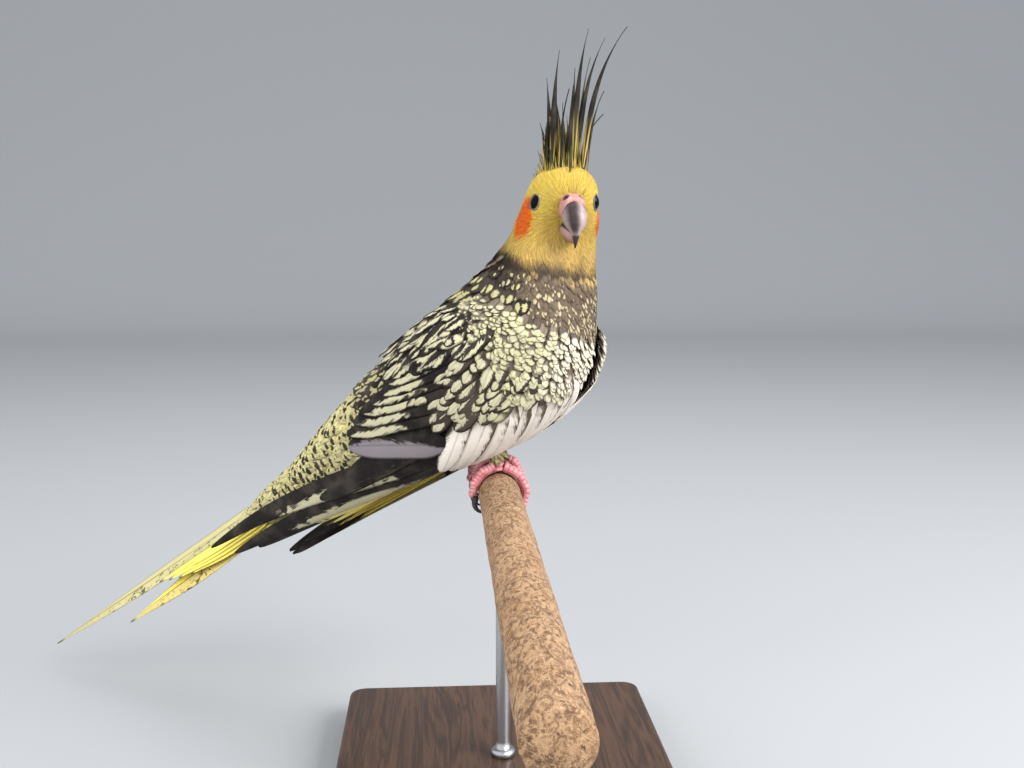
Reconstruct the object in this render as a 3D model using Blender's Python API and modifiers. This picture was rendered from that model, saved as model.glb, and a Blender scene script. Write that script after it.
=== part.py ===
"""A life-size pearl cockatiel gripping a cut length of perch on a plain display stand.

The bird is built in its own frame: f forward, l to its left, u up, with the origin on top of the
perch between its feet. Lengths are given in millimetres and turned into metres by MM.
"""

import math

import bmesh
import bpy
import numpy as np
from mathutils import Matrix, Vector

MM = 0.001

# Driving dimensions of the stand and the perch
PERCH_RADIUS = 7.5
PERCH_LENGTH = 250.0
PERCH_TOP = 108.0
FEET_Y = 90.0
BASE_SIZE = (116.0, 236.0, 12.0)
BASE_CORNER = 6.0
ROD_RADIUS = 2.5
ROD_PLACES = (-85.0, 55.0)
ROD_DEPTH_IN_PERCH = 5.0

# The gap that touching pieces keep, and a feather's thickness
GAP = 0.3
VANE_THICKNESS = 0.55

# How the bird is turned: its body from +X, and its head from its body, both to its right
BODY_YAW = math.radians(-23.7)
HEAD_TURN = math.radians(60.0)
HEAD_FORWARD = 24.9
FOOT_SPACING = 22.0

# The body from the tail's root to the crown, one row for each section across it:
# centre f, centre u, slope in degrees, dorsal height, ventral height, half width, turn in degrees
BODY = np.array(
    [
        (-106.0, -28.0, 36.0, 3.0, 6.0, 6.0, 0.0),
        (-93.0, -18.0, 37.0, 5.0, 12.5, 10.0, 0.0),
        (-79.0, -8.0, 38.0, 6.6, 18.5, 14.5, 0.0),
        (-61.0, 5.5, 40.0, 10.8, 23.5, 19.5, 0.0),
        (-42.0, 18.5, 41.0, 15.0, 26.5, 23.5, 0.0),
        (-22.0, 31.5, 42.0, 18.2, 28.0, 26.0, 0.0),
        (-3.0, 43.5, 46.0, 21.8, 28.0, 27.0, 0.0),
        (12.0, 54.5, 56.0, 24.4, 26.0, 25.5, 0.0),
        (17.0, 66.0, 70.0, 21.0, 19.5, 21.5, 10.0),
        (19.0, 76.0, 82.0, 17.8, 16.0, 17.6, 26.0),
        (21.4, 84.0, 89.0, 16.4, 12.8, 15.2, 48.0),
        (22.9, 90.0, 90.0, 16.2, 12.6, 14.5, 60.0),
        (24.0, 96.5, 90.0, 15.6, 13.2, 12.9, 60.0),
        (24.8, 101.5, 90.0, 14.6, 12.4, 11.8, 60.0),
        (25.2, 105.8, 90.0, 12.2, 9.6, 9.6, 60.0),
        (25.5, 108.6, 90.0, 8.0, 5.6, 6.2, 60.0),
        (25.5, 109.8, 90.0, 3.0, 2.0, 2.2, 60.0),
    ]
)
BODY_ROUNDNESS = (2.2, 2.2)
BODY_RINGS = 34
BODY_SIDES = 20

# Sections where the body is parted: the tail's root, rump, torso, neck, head and crown
PARTING = (1.3, 3.4, 8.35, 10.2, 13.85)

# The surface that the folded wings lie on, in the same columns as BODY without the turn
WING_GUIDE = np.array(
    [
        (-168.0, -75.0, 37.0, 5.0, 9.0, 6.0, 0.0),
        (-144.0, -56.5, 37.0, 6.0, 11.0, 9.5, 0.0),
        (-120.0, -39.0, 37.0, 7.0, 14.0, 12.6, 0.0),
        (-97.0, -21.5, 37.0, 8.0, 18.0, 16.5, 0.0),
        (-79.0, -8.0, 38.0, 9.0, 22.0, 20.5, 0.0),
        (-61.0, 5.5, 40.0, 12.4, 27.0, 24.5, 0.0),
        (-42.0, 18.5, 41.0, 16.0, 31.0, 27.0, 0.0),
        (-22.0, 31.5, 42.0, 18.8, 33.0, 28.8, 0.0),
        (-3.0, 43.5, 46.0, 21.8, 33.0, 29.4, 0.0),
        (12.0, 54.5, 56.0, 23.5, 28.5, 26.6, 0.0),
        (17.0, 66.0, 70.0, 20.5, 21.0, 22.2, 0.0),
    ]
)
WING_ROUNDNESS = (2.2, 3.6)

# The shield of small feathers over the folded arm: upper edge, lower edge and thickness by section
SHIELD = np.array(
    [
        (4.9, 92.0, 116.0, 1.0),
        (5.6, 60.0, 134.0, 2.0),
        (6.5, 42.0, 150.0, 2.8),
        (7.4, 34.0, 158.0, 3.4),
        (8.2, 38.0, 160.0, 3.2),
        (8.8, 52.0, 150.0, 2.2),
        (9.3, 74.0, 122.0, 0.8),
    ]
)

# Rows of wing feathers, each a tier: count, then root and tip of the first and of the last feather
# as section and angle, half width, lift at the root and at the tip, tilt across, and stacking step
WING_TIERS = {
    "tertial": (4, (8.0, 40), (6.3, 56), (7.6, 70), (5.5, 96), 6.8, 2.2, 2.4, 1.7, 0.0),
    "secondary": (6, (7.2, 92), (5.3, 110), (6.6, 130), (4.5, 127), 6.0, 1.4, 0.6, 1.7, 0.0),
    "outer_primary": (2, (6.4, 112), (2.05, 92), (6.4, 118), (2.33, 126), 5.2, -0.4, 0.0, 0.0, 0.6),
    "primary": (4, (6.4, 122), (2.7, 132), (6.3, 140), (4.0, 141), 5.4, -0.8, -0.6, 0.0, 0.5),
    "greater_covert": (7, (8.0, 84), (6.2, 92), (7.9, 150), (6.6, 158), 6.2, 3.0, 2.6, 1.7, 0.0),
}

# How far the left wing's long feathers sag towards a tip below the tail, and the lift they gain
WING_SAG = {1: 0.8, -1: 0.0}
SAG_TIP = (2.4, 142.0)
SAG_LIFT = 11.0

# Tail feathers from the middle pair outwards: length, half width, spread in degrees, drop, side
TAIL_PAIRS = (
    (146.0, 7.0, 0.6, 0.8, 1.0),
    (70.0, 5.6, 3.0, -3.0, 2.4),
    (63.0, 5.2, 3.8, -5.0, 3.2),
    (56.0, 4.9, 4.6, -7.0, 4.0),
    (48.0, 4.6, 5.4, -9.0, 4.4),
)
TAIL_SHORT_RIGHT = (-56.0, 3.6, -8.2, 2.4)
TAIL_ROOT = (-92.0, -16.0)
TAIL_SLOPE = (35.0, 32.5)
TAIL_ROLL = (-0.6, 0.06)

# Crest feathers in the head's frame: root forward, root left, tip left, rise, sweep back, half width
CREST = (
    (4.0, 5.6, 25.5, 53.5, 14.0, 1.2),
    (5.0, 2.2, 10.8, 52.0, 13.0, 1.3),
    (3.0, 3.8, 17.6, 49.5, 14.0, 1.2),
    (4.0, -5.0, 0.0, 44.0, 11.0, 1.4),
    (5.5, -2.9, 2.0, 30.0, 6.0, 1.2),
    (5.5, 1.0, 3.5, 31.0, 6.0, 1.2),
    (2.0, -6.4, -3.8, 25.0, 8.0, 1.3),
    (3.0, 6.2, 11.0, 20.0, 6.0, 1.3),
    (-2.0, 4.0, 8.5, 40.0, 17.0, 1.4),
    (-2.0, -4.0, -2.0, 36.0, 17.0, 1.4),
    (-4.5, 0.0, 2.0, 31.0, 18.0, 1.6),
    (-4.0, -4.5, -4.5, 20.0, 15.0, 1.5),
    (-4.0, 4.5, 7.0, 21.0, 15.0, 1.5),
)
CREST_ROOT = 106.2

# The bill turns about a point in the head's middle plane: angle, outer and inner radius, half width
BILL_PIVOT = (10.8, 86.3)
UPPER_BILL = np.array(
    [
        (52.0, 12.4, 4.5, 4.3),
        (38.0, 12.9, 5.6, 4.3),
        (24.0, 12.7, 6.4, 4.2),
        (13.0, 12.1, 7.0, 3.8),
        (4.0, 11.5, 7.5, 2.6),
        (-5.0, 11.0, 8.0, 1.5),
        (-17.0, 10.6, 8.6, 0.9),
        (-32.0, 10.3, 9.8, 0.3),
    ]
)
CERE = np.array(
    [
        (98.0, 11.6, 4.0, 3.6),
        (86.0, 13.0, 4.0, 4.4),
        (70.0, 13.6, 4.2, 4.6),
        (54.0, 12.9, 4.4, 4.5),
    ]
)
# The lower bill: forward, height, half depth and half width in the head's frame
LOWER_BILL = np.array(
    [
        (8.5, 86.6, 3.0, 4.4),
        (12.0, 85.9, 3.4, 4.5),
        (15.0, 85.3, 3.0, 3.8),
        (17.2, 85.2, 2.2, 2.8),
        (18.4, 85.6, 1.2, 1.6),
    ]
)
NOSTRIL = (3.0, 0.85, 1.6)

# The eyes: angle from straight ahead, height, radius, how deep the centre sits, and the lid's ring
EYE_ANGLE = 54.0
EYE_HEIGHT = 96.6
EYE_RADIUS = 3.3
EYE_DEPTH = 2.2
LID_RING = (2.95, 0.8)

# Toes round the perch: place along it, first and last angle, radius at the root and at the end
TOES = (
    ("front_inner", 2.2, 80.0, -14.0, 1.8, 1.4),
    ("front_outer", -2.2, 80.0, -28.0, 1.8, 1.4),
    ("back_inner", 2.1, 100.0, 168.0, 1.9, 1.5),
    ("back_outer", -2.4, 100.0, 182.0, 2.0, 1.6),
)
CLAW_LENGTH = 7.5


def clear_scene():
    """Removes whatever the scene holds."""
    for obj in list(bpy.data.objects):
        bpy.data.objects.remove(obj)


def collection(name):
    """A collection linked to the scene."""
    made = bpy.data.collections.new(name)
    bpy.context.scene.collection.children.link(made)
    return made


def material(name, colour, roughness, metallic=0.0):
    """A plain Principled material."""
    made = bpy.data.materials.new(name)
    made.use_nodes = True
    shader = made.node_tree.nodes["Principled BSDF"]
    shader.inputs["Base Color"].default_value = (*colour, 1.0)
    shader.inputs["Roughness"].default_value = roughness
    shader.inputs["Metallic"].default_value = metallic
    return made


def mesh_object(name, points, faces, finish, parent=None):
    """An object from points in millimetres in its parent's frame."""
    mesh = bpy.data.meshes.new(name)
    mesh.from_pydata([tuple(float(c) * MM for c in p) for p in points], [], faces)
    mesh.validate()
    mesh.materials.append(finish)
    obj = bpy.data.objects.new(name, mesh)
    PART.objects.link(obj)
    obj.parent = parent
    return obj


def row_at(table, t):
    """A table's row at a fractional index, by a cubic through its neighbours."""
    last = len(table) - 1
    t = min(max(t, 0.0), float(last))
    i = min(int(t), last - 1)
    x = t - i
    before = table[i - 1] if i else 2 * table[0] - table[1]
    after = table[i + 2] if i + 2 <= last else 2 * table[last] - table[last - 1]
    a, b = table[i], table[i + 1]
    first = (b - before) / 2
    second = (after - a) / 2
    return (
        (2 * x**3 - 3 * x**2 + 1) * a
        + (x**3 - 2 * x**2 + x) * first
        + (3 * x**2 - 2 * x**3) * b
        + (x**3 - x**2) * second
    )


def surface_point(table, roundness, t, angle, lift=0.0):
    """A point on a lofted body. angle is 0 at the back, 90 at the left side and 180 at the belly."""
    f, u, slope, dorsal, ventral, half_width, turn = row_at(table, t)
    s, c = math.sin(math.radians(angle)), math.cos(math.radians(angle))
    height = dorsal if c > 0 else ventral
    power = roundness[0] if c > 0 else roundness[1]
    reach = (abs(s) / half_width) ** power + (abs(c) / height) ** power
    reach = reach ** (-1.0 / power) + lift
    a, tau = math.radians(slope), math.radians(turn)
    belly = np.array([math.sin(a), 0.0, -math.cos(a)])
    left = np.array([0.0, 1.0, 0.0])
    down = belly * math.cos(tau) - left * math.sin(tau)
    side = left * math.cos(tau) + belly * math.sin(tau)
    return np.array([f, 0.0, u]) + reach * (side * s - down * c)


def loft(name, rings, finish, parent=None):
    """A closed solid through rings of equal counts, each end closed by a fan round its middle."""
    rings = np.asarray(rings, float)
    count, sides = rings.shape[:2]
    points = list(rings.reshape(-1, 3)) + [rings[0].mean(0), rings[-1].mean(0)]
    first, last = count * sides, count * sides + 1
    faces = []
    for i in range(count - 1):
        for j in range(sides):
            k = (j + 1) % sides
            a, b, c, d = i * sides + j, i * sides + k, (i + 1) * sides + k, (i + 1) * sides + j
            faces += [(a, b, c), (a, c, d)]
    for j in range(sides):
        k = (j + 1) % sides
        faces.append((first, k, j))
        faces.append((last, (count - 1) * sides + j, (count - 1) * sides + k))
    obj = mesh_object(name, points, faces, finish, parent)
    face_out(obj)
    return obj


def face_out(obj):
    """Turns every face of a closed mesh outwards."""
    work = bmesh.new()
    work.from_mesh(obj.data)
    bmesh.ops.recalc_face_normals(work, faces=work.faces)
    if work.calc_volume(signed=True) < 0:
        bmesh.ops.reverse_faces(work, faces=work.faces)
    work.to_mesh(obj.data)
    work.free()


def apply_modifiers(obj):
    """Makes what the modifiers show into the object's own mesh."""
    bpy.context.view_layer.update()
    graph = bpy.context.evaluated_depsgraph_get()
    made = bpy.data.meshes.new_from_object(obj.evaluated_get(graph))
    obj.modifiers.clear()
    obj.data = made


def keep_largest(obj):
    """Keeps a mesh's largest closed surface and merges the points that a Boolean leaves together."""
    work = bmesh.new()
    work.from_mesh(obj.data)
    bmesh.ops.remove_doubles(work, verts=work.verts, dist=2e-6)
    bmesh.ops.triangulate(work, faces=work.faces)
    work.faces.ensure_lookup_table()
    left, groups = set(work.faces), []
    while left:
        edge_of_group = [left.pop()]
        group = set(edge_of_group)
        while edge_of_group:
            face = edge_of_group.pop()
            for edge in face.edges:
                for other in edge.link_faces:
                    if other in left:
                        left.discard(other)
                        group.add(other)
                        edge_of_group.append(other)
        groups.append(group)
    groups.sort(key=lambda g: sum(f.calc_area() for f in g))
    dropped = [f for g in groups[:-1] for f in g]
    bmesh.ops.delete(work, geom=dropped, context="FACES")
    loose = [v for v in work.verts if not v.link_faces]
    bmesh.ops.delete(work, geom=loose, context="VERTS")
    work.to_mesh(obj.data)
    work.free()


def join(target, pieces):
    """One Boolean union of target with the closed meshes in pieces, which are then removed."""
    group = bpy.data.collections.new("joining")
    bpy.context.scene.collection.children.link(group)
    for piece in pieces:
        group.objects.link(piece)
    union = target.modifiers.new("join", "BOOLEAN")
    union.operation = "UNION"
    union.solver = "MANIFOLD"
    union.operand_type = "COLLECTION"
    union.collection = group
    apply_modifiers(target)
    for piece in list(pieces):
        bpy.data.objects.remove(piece)
    bpy.data.collections.remove(group)
    keep_largest(target)
    return target


def cut(target, cutters):
    """Cuts the closed meshes in cutters out of target."""
    for cutter in cutters:
        step = target.modifiers.new("cut", "BOOLEAN")
        step.operation = "DIFFERENCE"
        step.solver = "MANIFOLD"
        step.object = cutter
        apply_modifiers(target)
    keep_largest(target)
    return target


def discard(objects):
    """Removes objects that were only cutters."""
    for obj in objects:
        bpy.data.objects.remove(obj)


def swollen(obj, by=GAP):
    """A copy of a closed mesh with each point moved out along its normal, to cut room for it."""
    made = obj.copy()
    made.data = obj.data.copy()
    made.name = obj.name + "_room"
    PART.objects.link(made)
    work = bmesh.new()
    work.from_mesh(made.data)
    work.normal_update()
    moves = [v.normal.copy() * by * MM for v in work.verts]
    for vert, move in zip(work.verts, moves):
        vert.co += move
    work.to_mesh(made.data)
    work.free()
    return made


def whole_body():
    """The body from the tail's root to the crown as one loft."""
    rings = []
    for t in np.linspace(0, len(BODY) - 1, BODY_RINGS):
        angles = np.arange(BODY_SIDES) * 360.0 / BODY_SIDES
        rings.append([surface_point(BODY, BODY_ROUNDNESS, t, a) for a in angles])
    return loft("whole_body", rings, PAINT["grey_feather"], BIRD)


def parting_plane(t):
    """A point and the forward direction of the body's section t, in millimetres."""
    f, u, slope = row_at(BODY, t)[:3]
    a = math.radians(slope)
    return Vector((f, 0.0, u)), Vector((math.cos(a), 0.0, math.sin(a)))


def body_part(name, whole, low, high, finish):
    """The stretch of the body between two sections, half a gap inside each."""
    obj = whole.copy()
    obj.data = whole.data.copy()
    obj.name = name
    obj.data.materials.clear()
    obj.data.materials.append(finish)
    PART.objects.link(obj)
    work = bmesh.new()
    work.from_mesh(obj.data)
    for t, keep_ahead in ((low, True), (high, False)):
        if t is None:
            continue
        point, ahead = parting_plane(t)
        inward = ahead if keep_ahead else -ahead
        point = point + inward * GAP / 2
        geometry = work.verts[:] + work.edges[:] + work.faces[:]
        sliced = bmesh.ops.bisect_plane(
            work, geom=geometry, plane_co=point * MM, plane_no=inward, clear_inner=True, dist=1e-7
        )
        rim = [e for e in sliced["geom_cut"] if isinstance(e, bmesh.types.BMEdge)]
        bmesh.ops.contextual_create(work, geom=rim)
    bmesh.ops.triangulate(work, faces=work.faces)
    work.to_mesh(obj.data)
    work.free()
    face_out(obj)
    return obj


def vane(name, centres, acrosses, lifts, widths, finish, parent=None):
    """A thin closed feather: four corners at each place along it, split alike on both faces."""
    rings = []
    for centre, across, lift, width in zip(centres, acrosses, lifts, widths):
        half = lift * VANE_THICKNESS / 2
        side = across * width
        rings.append([centre + side + half, centre + side - half, centre - side - half, centre - side + half])
    points = [p for ring in rings for p in ring]
    faces = []
    for i in range(len(rings) - 1):
        a, b = 4 * i, 4 * i + 4
        faces += [(a, b, b + 3), (a, b + 3, a + 3)]
        faces += [(a + 1, b + 2, b + 1), (a + 1, a + 2, b + 2)]
        faces += [(a, a + 1, b + 1), (a, b + 1, b)]
        faces += [(a + 3, b + 3, b + 2), (a + 3, b + 2, a + 2)]
    end = 4 * len(rings) - 4
    faces += [(0, 3, 2), (0, 2, 1), (end, end + 1, end + 2), (end, end + 2, end + 3)]
    obj = mesh_object(name, points, faces, finish, parent)
    face_out(obj)
    return obj


def feather_width(s, tip_at=0.72, tip=0.12):
    """A vane's share of its full width at s from root to tip: narrow, full, then a rounded point."""
    if s < 0.25:
        return 0.45 + 2.2 * s
    if s < tip_at:
        return 1.0
    x = (s - tip_at) / (1 - tip_at)
    return tip + (1 - tip) * math.sqrt(max(0.0, 1 - x * x))


def wing_point(side, t, angle, lift=0.0):
    """A point on the folded wing's surface; side is 1 for the left wing and -1 for the right."""
    point = surface_point(WING_GUIDE, WING_ROUNDNESS, t, angle, lift)
    return point * np.array([1.0, side, 1.0])


def wing_vane(name, side, root, tip, half_width, lifts, tilt, segments, pointed):
    """A wing feather along the wing's surface from root to tip, each a section and an angle."""
    centres, acrosses, normals, widths = [], [], [], []
    for s in np.linspace(0, 1, segments + 1):
        t = root[0] + (tip[0] - root[0]) * s
        angle = root[1] + (tip[1] - root[1]) * s
        lift = lifts[0] + (lifts[1] - lifts[0]) * s
        here = wing_point(side, t, angle, lift)
        ahead = wing_point(side, t - 0.02, angle + (tip[1] - root[1]) * 0.02 / (root[0] - tip[0]), lift)
        along = ahead - here
        along /= np.linalg.norm(along)
        over = wing_point(side, t, angle + 1.0, lift) - wing_point(side, t, angle - 1.0, lift)
        over -= along * np.dot(over, along)
        over /= np.linalg.norm(over)
        normal = np.cross(over, along) * side
        width = half_width * feather_width(s, pointed)
        over = over * math.cos(math.atan(tilt / 2 / half_width)) + normal * tilt / 2 / half_width
        over /= np.linalg.norm(over)
        normal = np.cross(over, along) * side
        centres.append(here)
        acrosses.append(over)
        normals.append(normal)
        widths.append(width)
    return vane(name, centres, acrosses, normals, widths, PAINT["dark_feather"], BIRD)


def wing(side):
    """One folded wing: the shield over the arm with its tiers of feathers, as one solid."""
    name = "wing_left" if side > 0 else "wing_right"
    rows, columns = 11, 9
    outer, inner = [], []
    for i in range(rows):
        section, top, bottom, thickness = row_at(SHIELD, i * (len(SHIELD) - 1) / (rows - 1))
        line_out, line_in = [], []
        for j in range(columns):
            x = j / (columns - 1)
            angle = top + (bottom - top) * x
            edge = math.sqrt(max(0.0, 1 - (2 * x - 1) ** 4))
            line_out.append(wing_point(side, section, angle, 0.3 + thickness * edge))
            line_in.append(wing_point(side, section, angle, -1.6))
        outer.append(line_out)
        inner.append(line_in[::-1])
    rings = [a + b for a, b in zip(outer, inner)]
    shield = loft(name, rings, PAINT["pearl_feather"], BIRD)
    pieces = []
    for tier, (count, root_a, tip_a, root_b, tip_b, width, low, high, tilt, step) in WING_TIERS.items():
        for i in range(count):
            x = i / (count - 1)
            root = [a + (b - a) * x for a, b in zip(root_a, root_b)]
            tip = [a + (b - a) * x for a, b in zip(tip_a, tip_b)]
            lifts = [low - step * i, high - step * i * 0.4]
            if "primary" in tier:
                sag = WING_SAG[side] * (1.0 if tier == "outer_primary" else 1 - x)
                tip = [a + (b - a) * sag for a, b in zip(tip, SAG_TIP)]
                lifts[1] += SAG_LIFT * sag
            root[0] += 0.06 * (i % 2)
            segments = 6 if "primary" in tier else 4
            pointed = 0.62 if "primary" in tier else 0.72
            label = f"{tier}_{i}"
            pieces.append(wing_vane(label, side, root, tip, width, lifts, tilt, segments, pointed))
    return join(shield, pieces)


def tail(root):
    """The tail's root with its graduated feathers, as one solid."""
    pieces = []
    slope = [math.radians(-s) for s in TAIL_SLOPE]
    for pair, row in enumerate(TAIL_PAIRS):
        for side in (1, -1):
            length, half_width, spread, drop, start = row
            full = length
            sag = 0.0
            if pair == 0 and side < 0:
                full += TAIL_SHORT_RIGHT[0]
                spread += TAIL_SHORT_RIGHT[1]
                drop += TAIL_SHORT_RIGHT[2]
                sag = math.radians(TAIL_SHORT_RIGHT[3])
            centres, acrosses, normals, widths = [], [], [], []
            place = np.array([TAIL_ROOT[0], side * start, TAIL_ROOT[1] + drop])
            steps = 7
            for i in range(steps + 1):
                s = i / steps
                pitch = slope[0] + (slope[1] - slope[0]) * s * full / TAIL_PAIRS[0][0] - sag
                turn = math.radians(spread) * side
                along = np.array([-math.cos(pitch) * math.cos(turn), math.sin(turn), math.sin(pitch)])
                across = np.cross(along, [0.0, 0.0, 1.0])
                across /= np.linalg.norm(across)
                normal = np.cross(across, along)
                roll = TAIL_ROLL[0] + TAIL_ROLL[1] * side
                across, normal = (
                    across * math.cos(roll) - normal * math.sin(roll),
                    normal * math.cos(roll) + across * math.sin(roll),
                )
                centres.append(place.copy())
                acrosses.append(across)
                normals.append(normal)
                widths.append(half_width * feather_width(s, 0.5, 0.08))
                place = place + along * full / steps
            name = f"rectrix_{pair}"
            pieces.append(vane(name, centres, acrosses, normals, widths, PAINT["yellow_feather"], BIRD))
    return join(root, pieces)


def head_point(forward, left, height):
    """A point given in the head's frame, in the bird's frame."""
    c, s = math.cos(HEAD_TURN), math.sin(HEAD_TURN)
    return np.array([HEAD_FORWARD + forward * c + left * s, -forward * s + left * c, height])


def crest(cap):
    """The crown with its long, thin feathers, as one solid."""
    pieces = []
    for k, (forward, root_side, tip_side, rise, sweep, half_width) in enumerate(CREST):
        centres, acrosses, normals, widths = [], [], [], []
        steps = 6
        for i in range(steps + 1):
            s = i / steps
            bend = s * s
            centre = head_point(
                forward - sweep * bend,
                root_side + (tip_side - root_side) * (0.35 * s + 0.65 * s**3),
                CREST_ROOT + rise * s,
            )
            centres.append(centre)
            acrosses.append(head_point(0, 1, 0) - head_point(0, 0, 0))
            widths.append(half_width * (1.25 - 0.95 * s) if i < steps else 0.15)
        for i in range(steps + 1):
            along = centres[min(i + 1, steps)] - centres[max(i - 1, 0)]
            normal = np.cross(acrosses[i], along)
            normals.append(normal / np.linalg.norm(normal))
        pieces.append(vane(f"crest_{k}", centres, acrosses, normals, widths, PAINT["dark_feather"], BIRD))
    return join(cap, pieces)


def turned_bill(name, table, finish, rings=9, sides=12):
    """A piece of the bill: half-round sections swung about the pivot."""
    made = []
    for x in np.linspace(0, len(table) - 1, rings):
        angle, outer, inner, half_width = row_at(table, x)
        a = math.radians(angle)
        middle, half = (outer + inner) / 2, (outer - inner) / 2
        ring = []
        for j in range(sides):
            b = 2 * math.pi * j / sides
            reach = middle + half * math.cos(b)
            point = head_point(
                BILL_PIVOT[0] + reach * math.cos(a),
                half_width * math.sin(b) * (1.0 - 0.12 * math.cos(b)),
                BILL_PIVOT[1] + reach * math.sin(a),
            )
            ring.append(point)
        made.append(ring)
    return loft(name, made, finish, BIRD)


def lower_bill():
    """The scoop of the lower bill."""
    made = []
    for x in np.linspace(0, len(LOWER_BILL) - 1, 7):
        forward, height, half_depth, half_width = row_at(LOWER_BILL, x)
        ring = []
        for j in range(12):
            b = 2 * math.pi * j / 12
            ring.append(head_point(forward, half_width * math.sin(b), height + half_depth * math.cos(b)))
        made.append(ring)
    return loft("bill_lower", made, PAINT["bill"], BIRD)


def eye_place(side):
    """The point on the head over an eye, and the direction out of it."""
    t = 12.0 + (EYE_HEIGHT - BODY[12][1]) / (BODY[13][1] - BODY[12][1])
    angle = 180.0 - side * EYE_ANGLE
    here = surface_point(BODY, BODY_ROUNDNESS, t, angle)
    over = surface_point(BODY, BODY_ROUNDNESS, t, angle + 3) - surface_point(BODY, BODY_ROUNDNESS, t, angle - 3)
    up = surface_point(BODY, BODY_ROUNDNESS, t + 0.2, angle) - surface_point(BODY, BODY_ROUNDNESS, t - 0.2, angle)
    out = np.cross(over, up)
    out /= np.linalg.norm(out)
    middle = head_point(0, 0, EYE_HEIGHT)
    if np.dot(out, here - middle) < 0:
        out = -out
    return here, out


def ball(name, centre, radius, finish, segments=16, rings=10):
    """A sphere in the bird's frame."""
    mesh = bpy.data.meshes.new(name)
    work = bmesh.new()
    bmesh.ops.create_uvsphere(work, u_segments=segments, v_segments=rings, radius=radius * MM)
    bmesh.ops.triangulate(work, faces=work.faces)
    work.to_mesh(mesh)
    work.free()
    mesh.transform(Matrix.Translation(Vector(centre) * MM))
    mesh.materials.append(finish)
    obj = bpy.data.objects.new(name, mesh)
    obj.parent = BIRD
    PART.objects.link(obj)
    return obj


def lid(name, centre, out):
    """The ring of bare skin round an eye."""
    major, minor = LID_RING
    turn = Vector(out).to_track_quat("Z", "Y").to_matrix()
    around, tube = 18, 6
    points, faces = [], []
    for i in range(around):
        a = 2 * math.pi * i / around
        for j in range(tube):
            b = 2 * math.pi * j / tube
            reach = major + minor * math.cos(b)
            local = Vector((reach * math.cos(a), reach * math.sin(a), minor * math.sin(b)))
            points.append(np.array(turn @ local) + centre)
    for i in range(around):
        for j in range(tube):
            a, b = i * tube + j, i * tube + (j + 1) % tube
            c, d = (i + 1) % around * tube + (j + 1) % tube, (i + 1) % around * tube + j
            faces += [(a, b, c), (a, c, d)]
    obj = mesh_object(name, points, faces, PAINT["cere"], BIRD)
    face_out(obj)
    return obj


def tube(name, centres, radii, finish, parent=None, sides=8):
    """A round tube through centres, closed at both ends."""
    centres = [np.asarray(c, float) for c in centres]
    rings = []
    reference = None
    for i, centre in enumerate(centres):
        along = centres[min(i + 1, len(centres) - 1)] - centres[max(i - 1, 0)]
        along /= np.linalg.norm(along)
        if reference is None:
            reference = np.array([0.0, 1.0, 0.0])
            if abs(along[1]) > 0.9:
                reference = np.array([1.0, 0.0, 0.0])
        first = reference - along * np.dot(reference, along)
        first /= np.linalg.norm(first)
        second = np.cross(along, first)
        ring = []
        for j in range(sides):
            b = 2 * math.pi * j / sides
            ring.append(centre + radii[i] * (first * math.cos(b) + second * math.sin(b)))
        rings.append(ring)
    return loft(name, rings, finish, parent)


def foot(name, y, mirrored):
    """The toes of one foot round the perch with the scaled shank, and a claw for each toe."""
    axis_z = PERCH_TOP - PERCH_RADIUS
    toes, claws = [], []
    for label, offset, first, last, thick, thin in TOES:
        spread = -offset if mirrored else offset
        centres, radii = [], []
        steps = 8
        for i in range(steps + 1):
            s = i / steps
            a = math.radians(first + (last - first) * s)
            radius = thick + (thin - thick) * s + 0.16 * math.cos(s * 6 * math.pi)
            reach = PERCH_RADIUS + GAP + radius + 0.1
            along = y + spread * (0.45 + 0.75 * s)
            centres.append((reach * math.cos(a), along, axis_z + reach * math.sin(a)))
            radii.append(radius)
        toes.append(tube(f"{name}_{label}", centres, radii, PAINT["foot"], sides=7))
        way = 1.0 if last > first else -1.0
        bends, thins = [], []
        claw_steps = 5
        for i in range(claw_steps + 1):
            s = i / claw_steps
            turned = way * (GAP + 0.9 + CLAW_LENGTH * s) / (reach + 0.5)
            a = math.radians(last) + turned
            swing = reach + 1.2 * math.sin(math.pi * min(1.0, s * 1.1)) - 0.5 * s
            bends.append((swing * math.cos(a), along, axis_z + swing * math.sin(a)))
            thins.append(1.15 * (1 - s) ** 0.8 + 0.16)
        claw = tube(f"claw_{name[5:]}_{label}", bends, thins, PAINT["claw"], sides=6)
        claws.append(claw)
    shank = [(0.0, y, PERCH_TOP + 1.5), (-0.4, y, PERCH_TOP + 4.5), (-1.0, y, PERCH_TOP + 7.6)]
    made = tube(name, shank, (2.6, 2.0, 2.1), PAINT["foot"], sides=9)
    join(made, toes)
    for claw in claws:
        room = swollen(made, GAP)
        cut(claw, [room])
        discard([room])
    return made, claws


def thigh(name, side):
    """The feathered drumstick between the belly and the shank."""
    place = foot_in_bird_frame(side)
    belly = np.array([-6.0, side * 11.0, 24.0])
    knee = np.array([place[0] - 0.8, place[1], 6.4])
    centres = [belly + (knee - belly) * s for s in (0.0, 0.3, 0.6, 0.85, 1.0)]
    return tube(name, centres, (8.0, 7.6, 6.0, 4.4, 3.4), PAINT["grey_feather"], BIRD, sides=12)


def foot_in_bird_frame(side):
    """Where a foot stands, as f and l."""
    y = side * FOOT_SPACING / 2
    return np.array([y * math.sin(BODY_YAW), y * math.cos(BODY_YAW)])


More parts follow.
